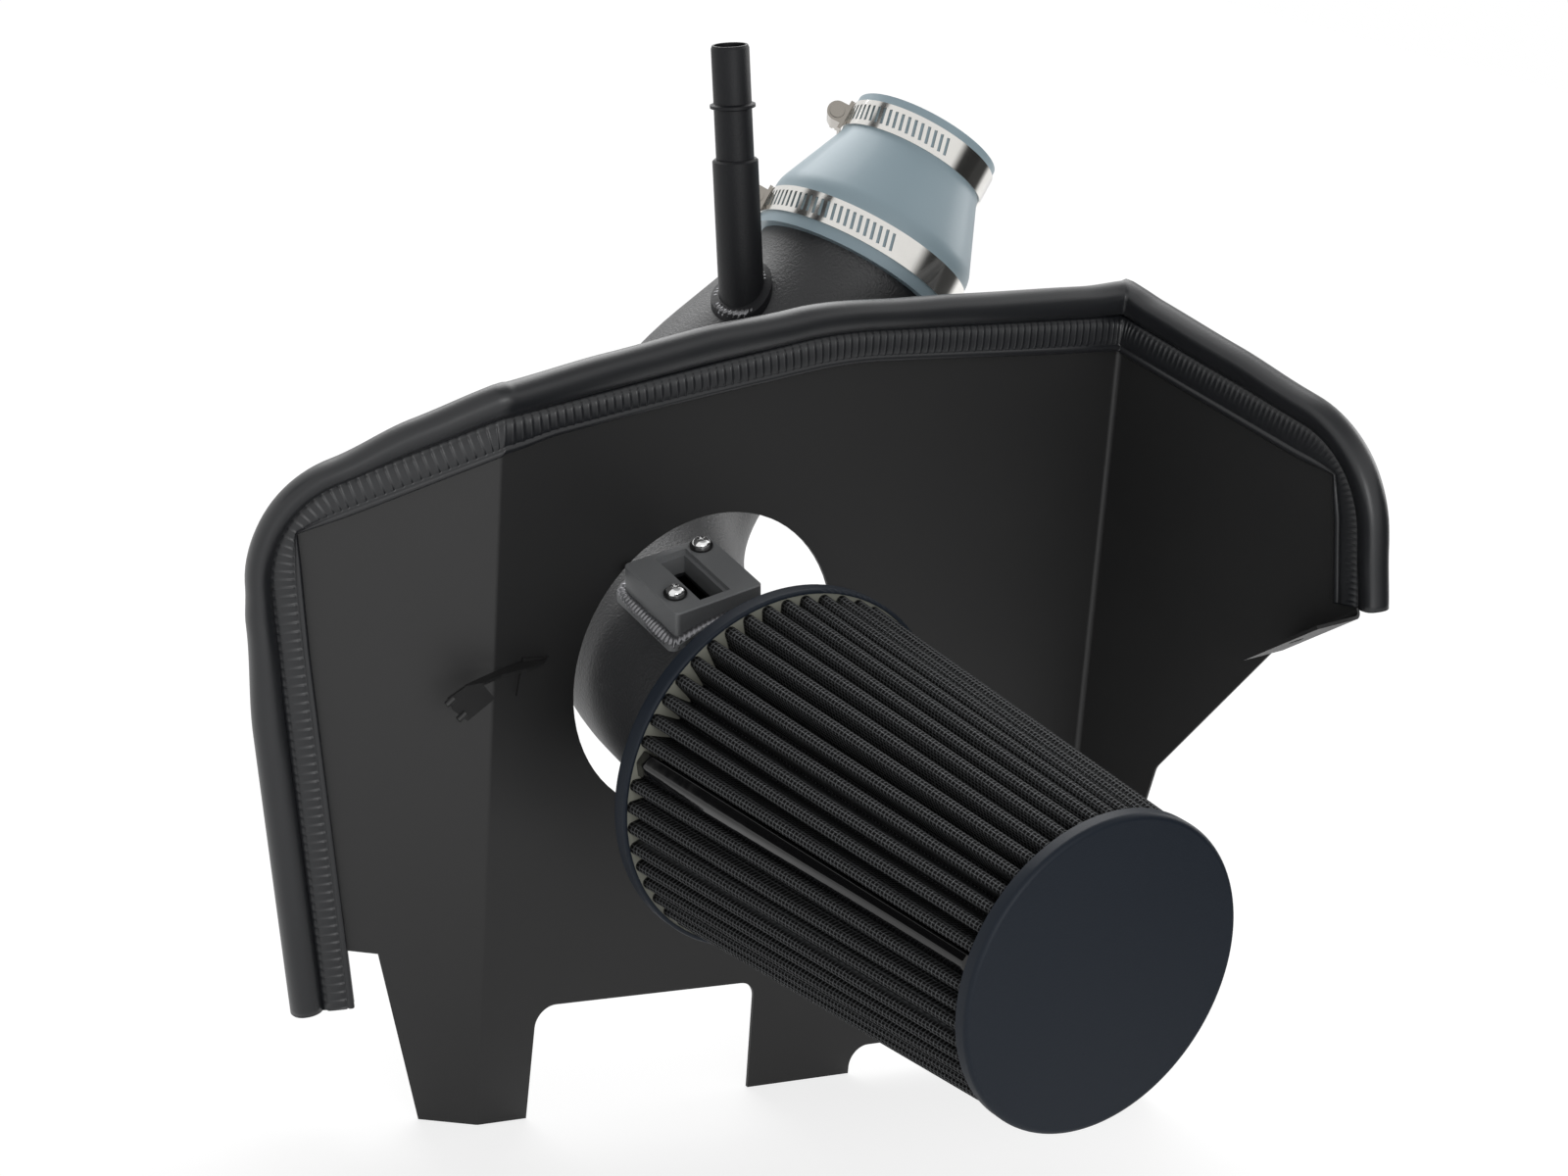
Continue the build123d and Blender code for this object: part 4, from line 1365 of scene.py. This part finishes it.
    def flange_weld(self) -> bpy.types.Object:
        """Bead round the sensor flange, where its sides meet the tube.

        The path is the flange's outline with round corners, laid on the tube: its height over
        the centre line is the square root of the radius squared less the distance aside squared.

        Returns:
            The piece.
        """
        way = self.ways()[0]
        up = unit(np.array([0.0, 0.0, 1.0]) - way * way[2])
        side = np.cross(way, up)
        lean = math.radians(self.flange_lean)
        out = up * math.cos(lean) - side * math.sin(lean)
        across = np.cross(out, way)
        half = np.array([self.flange_long, self.flange_wide]) / 2 + self.flange_gap - self.flange_corner
        turn = np.linspace(0, 2 * math.pi, 720, endpoint=False)
        reach = np.stack([np.cos(turn), np.sin(turn)], axis=1)
        nearest = np.clip(reach / np.max(np.abs(reach) / half, axis=1, keepdims=True), -half, half)
        push = unit(np.sign(nearest) * np.abs(nearest / half) ** 9)
        outline = np.concatenate([nearest + push * self.flange_corner, push], axis=1)
        outline = np.concatenate([outline, outline[:1]])
        lengths = path_lengths(outline[:, :2])
        spots = np.linspace(0, lengths[-1], 760, endpoint=False)
        along, aside, push_along, push_aside = read_off(spots, lengths, outline).T[..., None]
        lift = np.sqrt((self.radius + self.flange_lift) ** 2 - aside**2)
        path = np.array(self.neck) + (self.flange_station + along) * way + aside * across + lift * out
        normal = unit(aside * across + lift * out)
        away = unit(push_along * way + push_aside * across)
        away = unit(away - normal * np.sum(away * normal, axis=1, keepdims=True))
        size = self.flange_bead * (1 + waves(spots, ((0.07, 7.0, 0.0), (0.05, 2.7, 2.0))))
        piece = self.bead_skin(path, normal, away, size).build("flange_weld_bead")
        # The weld finish paints sheen on the bead.
        self.palette.dress(piece, Finish.WELD)
        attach(piece, "root")
        return piece

    def vent_weld(self) -> bpy.types.Object:
        """Bead round the foot of the vent tube, found by walking down its side to the tube.

        Returns:
            The piece.
        """
        foot = self.corners()[0] + self.vent_station * self.ways()[1] + np.array(self.vent_aside)
        up = unit(np.array(self.vent_way))
        side = unit(np.cross(up, np.array([0.0, 1.0, 0.0])))
        turn = np.linspace(0, 2 * math.pi, 220, endpoint=False)
        away = np.cos(turn)[:, None] * side + np.sin(turn)[:, None] * np.cross(up, side)
        wall = foot + (self.vent_radius + self.vent_gap) * away
        heights = np.linspace(5.0, 75.0, 141)
        rays = wall[:, None] + heights[None, :, None] * up
        line = self.centre_line()[::4]
        gap = np.linalg.norm(rays[:, :, None] - line, axis=-1).min(axis=2) - self.radius - self.vent_lift
        height = heights[np.argmax(gap > 0, axis=1)]
        smooth = np.convolve(np.concatenate([height[-6:], height, height[:6]]), np.ones(13) / 13, "valid")
        path = wall + smooth[:, None] * up
        normal = np.repeat(up[None], len(turn), axis=0)
        size = self.vent_bead * (1 + waves(turn, ((0.08, 1 / 3, 0.0), (0.06, 1 / 7, 1.0))))
        piece = self.bead_skin(path, normal, away, size).build("vent_weld_bead")
        # The weld finish paints sheen on the bead.
        self.palette.dress(piece, Finish.WELD)
        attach(piece, "root")
        return piece


@dataclass
class CarriedNodes:
    """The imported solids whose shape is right, each with its finish.

    Attributes:
        palette: The finishes' materials.
        angle: Edges sharper than this, in degrees, stay sharp.
        merge: Corners nearer than this, in metres, are one.
    """

    palette: Palette
    angle: float = 32.0
    merge: float = 0.000005

    @staticmethod
    def finishes() -> dict[str, Finish]:
        """Finish of each solid.

        Returns:
            Finishes by the solids' names.
        """
        # Saddles and screws take the darkened steel, a painted dark reflection.
        parts = {"band": Finish.BAND, "saddle": Finish.WORM_PAINTED_DARK_REFLECTION, "screw": Finish.WORM_PAINTED_DARK_REFLECTION}
        clamps = ["engine_clamp", "tube_clamp", "filter_clamp"]
        table = {f"{name}_{part}": finish for name in clamps for part, finish in parts.items()}
        return table | {
            "heat_shield": Finish.SHIELD,
            "line_clip": Finish.SHIELD,
            "tube_bracket": Finish.SHIELD,
            "intake_tube": Finish.TUBE,
            # The sensor block's grey colour is painted sheen over its black coat.
            "sensor_flange": Finish.BLOCK_WITH_PAINTED_SHEEN,
            "vent_tube": Finish.VENT,
            "sensor_screws": Finish.PLATE,
            "sensor_washers": Finish.WASHER,
            "bracket_bolt": Finish.WASHER,
            "bracket_nut": Finish.WASHER,
            "reducer_hose": Finish.HOSE,
            "filter_base": Finish.MOULDING,
            "filter_cap": Finish.MOULDING,
            "bond_ring": Finish.BOND,
            "filter_cage": Finish.CAGE,
        }

    def dress(self) -> None:
        """Gives every carried solid its finish, and smooth shading between its sharp edges."""
        for name, finish in self.finishes().items():
            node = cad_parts[name]
            self.palette.dress(node, finish)
            weld = node.modifiers.new("joined", "WELD")
            weld.merge_threshold = self.merge
            crease = node.modifiers.new("creases", "EDGE_SPLIT")
            crease.split_angle = math.radians(self.angle)
            log.info("dressed %s", name)


@dataclass
class Stage:
    """Floor, lamps, surroundings and camera.

    Attributes:
        eye: The camera's place, in the model's millimetres.
        right: The picture's rightward direction.
        down: The picture's downward direction.
        look: The viewing direction.
        lens: Focal length in millimetres for a 36 mm sensor.
        lit: Strength of the surroundings as a light.
        dim: Share by which the dark parts of the studio are dimmed in reflections.
        dark_turn: Turn of the studio's dark side from +X, in degrees.
        dark_edge: Cosines between which it fades in.
        spot: Direction of the dark spot that the right wing mirrors.
        spot_edge: Cosines between which it fades in.
        ceiling: How dark the ceiling is.
        ceiling_edge: Cosines from straight up between which it fades in.
        white: Strength of the surroundings in gloss.
        black: Least strength anywhere.
        floor_half: Half the floor's side, in metres.
        floor_pale: The floor's colour as the object's light meets it.
        floor_glow: The floor's own glow in gloss.
        near_floor: Colour and glow of the floor that the camera sees under the object.
        far_floor: The same far from it.
        far_edge: Distances between which the one turns into the other, in metres.
        dark_floor: Distances between which the floor takes on the studio's dark side.
    """

    eye: Triple = (-733.470, -1012.720, 589.768)
    right: Triple = (0.7864967, -0.5894281, 0.1843841)
    down: Triple = (-0.0159627, -0.3178535, -0.9480055)
    look: Triple = (0.6173882, 0.7426599, -0.2593995)
    lens: float = 74.25
    lit: float = 0.40
    dim: float = 0.95
    dark_turn: float = -34.0
    dark_edge: Pair = (0.80, 0.90)
    spot: Triple = (-0.691, 0.5355, 0.4854)
    spot_edge: Pair = (0.976, 0.988)
    ceiling: float = 0.65
    ceiling_edge: Pair = (0.78, 0.92)
    white: float = 0.95
    black: float = 0.03
    floor_half: float = 6.0
    floor_pale: float = 0.85
    floor_glow: float = 0.3
    near_floor: Pair = (0.30, 0.77)
    far_floor: Pair = (0.02, 0.99)
    far_edge: Pair = (0.5, 1.5)
    dark_floor: Pair = (0.3, 0.9)

    def camera(self) -> None:
        """Places the camera by its three axes."""
        data = bpy.data.cameras.new("camera")
        data.lens = self.lens
        data.sensor_width = 36.0
        data.clip_start = 0.01
        camera = bpy.data.objects.new("camera", data)
        bpy.context.scene.collection.objects.link(camera)
        columns = Matrix((self.right, [-v for v in self.down], [-v for v in self.look])).transposed()
        place = (np.array(self.eye) + ORIGIN_SHIFT) * MM
        camera.matrix_world = Matrix.Translation(place.tolist()) @ columns.to_4x4()
        bpy.context.scene.camera = camera

    def shade(self, kit: NodeKit, way: Socket) -> Socket:
        """Share of the dark side of the studio in a direction, to the right of the front.

        Args:
            kit: The node tree.
            way: Direction from the object, as a socket.

        Returns:
            A share from 0 to 1.
        """
        along = kit.vector("DOT_PRODUCT", way, tuple(heading(self.dark_turn, 0.0)))
        return kit.spread(along, 0.0, 1.0, *self.dark_edge)

    def floor(self) -> None:
        """Flat pale floor that the camera sees nearly white, with the object's soft shadow."""
        mesh = bpy.data.meshes.new("floor")
        half = self.floor_half
        corners = [(-half, -half, 0.0), (half, -half, 0.0), (half, half, 0.0), (-half, half, 0.0)]
        mesh.from_pydata(corners, [], [(0, 1, 2, 3)])
        floor = bpy.data.objects.new("floor", mesh)
        bpy.context.scene.collection.objects.link(floor)
        tree = NodeTree("pale_floor")
        place = tree.object_coordinates()
        distance = tree.vector("LENGTH", place)
        far = tree.spread(distance, 0.0, 1.0, *self.far_edge)
        dark = tree.math("MULTIPLY", self.shade(tree, tree.vector("NORMALIZE", place)), self.dim)
        dark = tree.math("MULTIPLY", dark, tree.spread(distance, 0.0, 1.0, *self.dark_floor))
        seen = tree.seen()
        other = tree.math("SUBTRACT", 1.0, seen)
        gloss = tree.math("MULTIPLY", tree.ray("Glossy"), other)
        kept = tree.math("SUBTRACT", 1.0, tree.math("MULTIPLY", gloss, dark))
        plain = tree.math("MULTIPLY", tree.math("MULTIPLY", kept, self.floor_pale), other)
        own, glow = (
            tree.math("MULTIPLY", seen, tree.spread(far, near_value, far_value))
            for near_value, far_value in zip(self.near_floor, self.far_floor)
        )
        own = tree.math("ADD", plain, own)
        mirrored = tree.math("MULTIPLY", tree.math("MULTIPLY", gloss, kept), self.floor_glow)
        glow = tree.math("ADD", glow, mirrored)
        tree.set(
            Base_Color=own,
            Roughness=0.9,
            Specular_IOR_Level=0.1,
            Emission_Color=(1.0, 1.0, 1.0, 1.0),
            Emission_Strength=glow,
        )
        mesh.materials.append(tree.material)

    def world(self) -> None:
        """White surroundings, dimmer as a light than as they are seen, with three dark parts in gloss.

        They are the dark side of the studio, a dark spot that the right wing mirrors, and the ceiling.
        """
        world = bpy.data.worlds.new("studio")
        bpy.context.scene.world = world
        world.use_nodes = True
        kit = NodeKit(world.node_tree)
        sky = kit.nodes["Background"]
        sky.inputs["Color"].default_value = (1.0, 1.0, 1.0, 1.0)
        way = kit.nodes.new("ShaderNodeTexCoord").outputs["Generated"]
        spot = kit.spread(kit.vector("DOT_PRODUCT", way, self.spot), 0.0, 1.0, *self.spot_edge)
        height = kit.vector("DOT_PRODUCT", way, (0.0, 0.0, 1.0))
        ceiling = kit.spread(height, 0.0, self.ceiling, *self.ceiling_edge)
        dark = kit.math("MAXIMUM", kit.math("MAXIMUM", self.shade(kit, way), spot), ceiling)
        dark = kit.math("MULTIPLY", dark, self.dim)
        gloss = kit.math("MULTIPLY", kit.ray("Glossy"), kit.math("SUBTRACT", self.white - self.lit, dark))
        extra = kit.math("MAXIMUM", kit.math("MULTIPLY", kit.seen(), 1.0 - self.lit), gloss)
        extra = kit.math("ADD", extra, kit.math("MINIMUM", gloss, 0.0))
        kit.feed(sky.inputs["Strength"], kit.math("MAXIMUM", kit.math("ADD", extra, self.lit), self.black))

    def lamp(self, name: str, place: tuple, size: float, power: float) -> None:
        """Soft square lamp that faces the middle of the object.

        Args:
            name: Name of the lamp.
            place: Where it hangs, in metres.
            size: Side of its square in metres.
            power: Power in watts.
        """
        data = bpy.data.lights.new(name, "AREA")
        data.size = size
        data.energy = power
        lamp = bpy.data.objects.new(name, data)
        lamp.location = place
        aim = Vector((0.0, 0.0, 0.2)) - Vector(place)
        lamp.rotation_euler = aim.to_track_quat("-Z", "Y").to_euler()
        bpy.context.scene.collection.objects.link(lamp)

    def build(self) -> None:
        """Makes the whole stage."""
        self.camera()
        self.floor()
        self.world()
        self.lamp("top_lamp", (0.35, 1.25, 1.6), 1.6, 24.0)
        self.lamp("key_lamp", (-0.75, -2.05, 0.65), 1.0, 12.0)
        self.lamp("side_lamp", (1.9, 0.1, 1.0), 1.0, 8.0)
        bpy.context.scene.view_settings.view_transform = "Standard"


def main() -> None:
    """Builds every piece in order and reports it."""
    logging.basicConfig(level=logging.INFO)
    palette = Palette()
    CarriedNodes(palette).dress()
    cone, tube = ConeFilter(palette), IntakeTube(palette)
    pieces = EdgeSeal(palette).build()
    pieces += [cone.media(), cone.strip(), tube.flange_weld(), tube.vent_weld()]
    for piece in pieces:
        log.info("built %s with %d faces", piece.name, len(piece.data.polygons))
    Stage().build()
    bpy.context.view_layer.update()


if __name__ == "__main__":
    main()
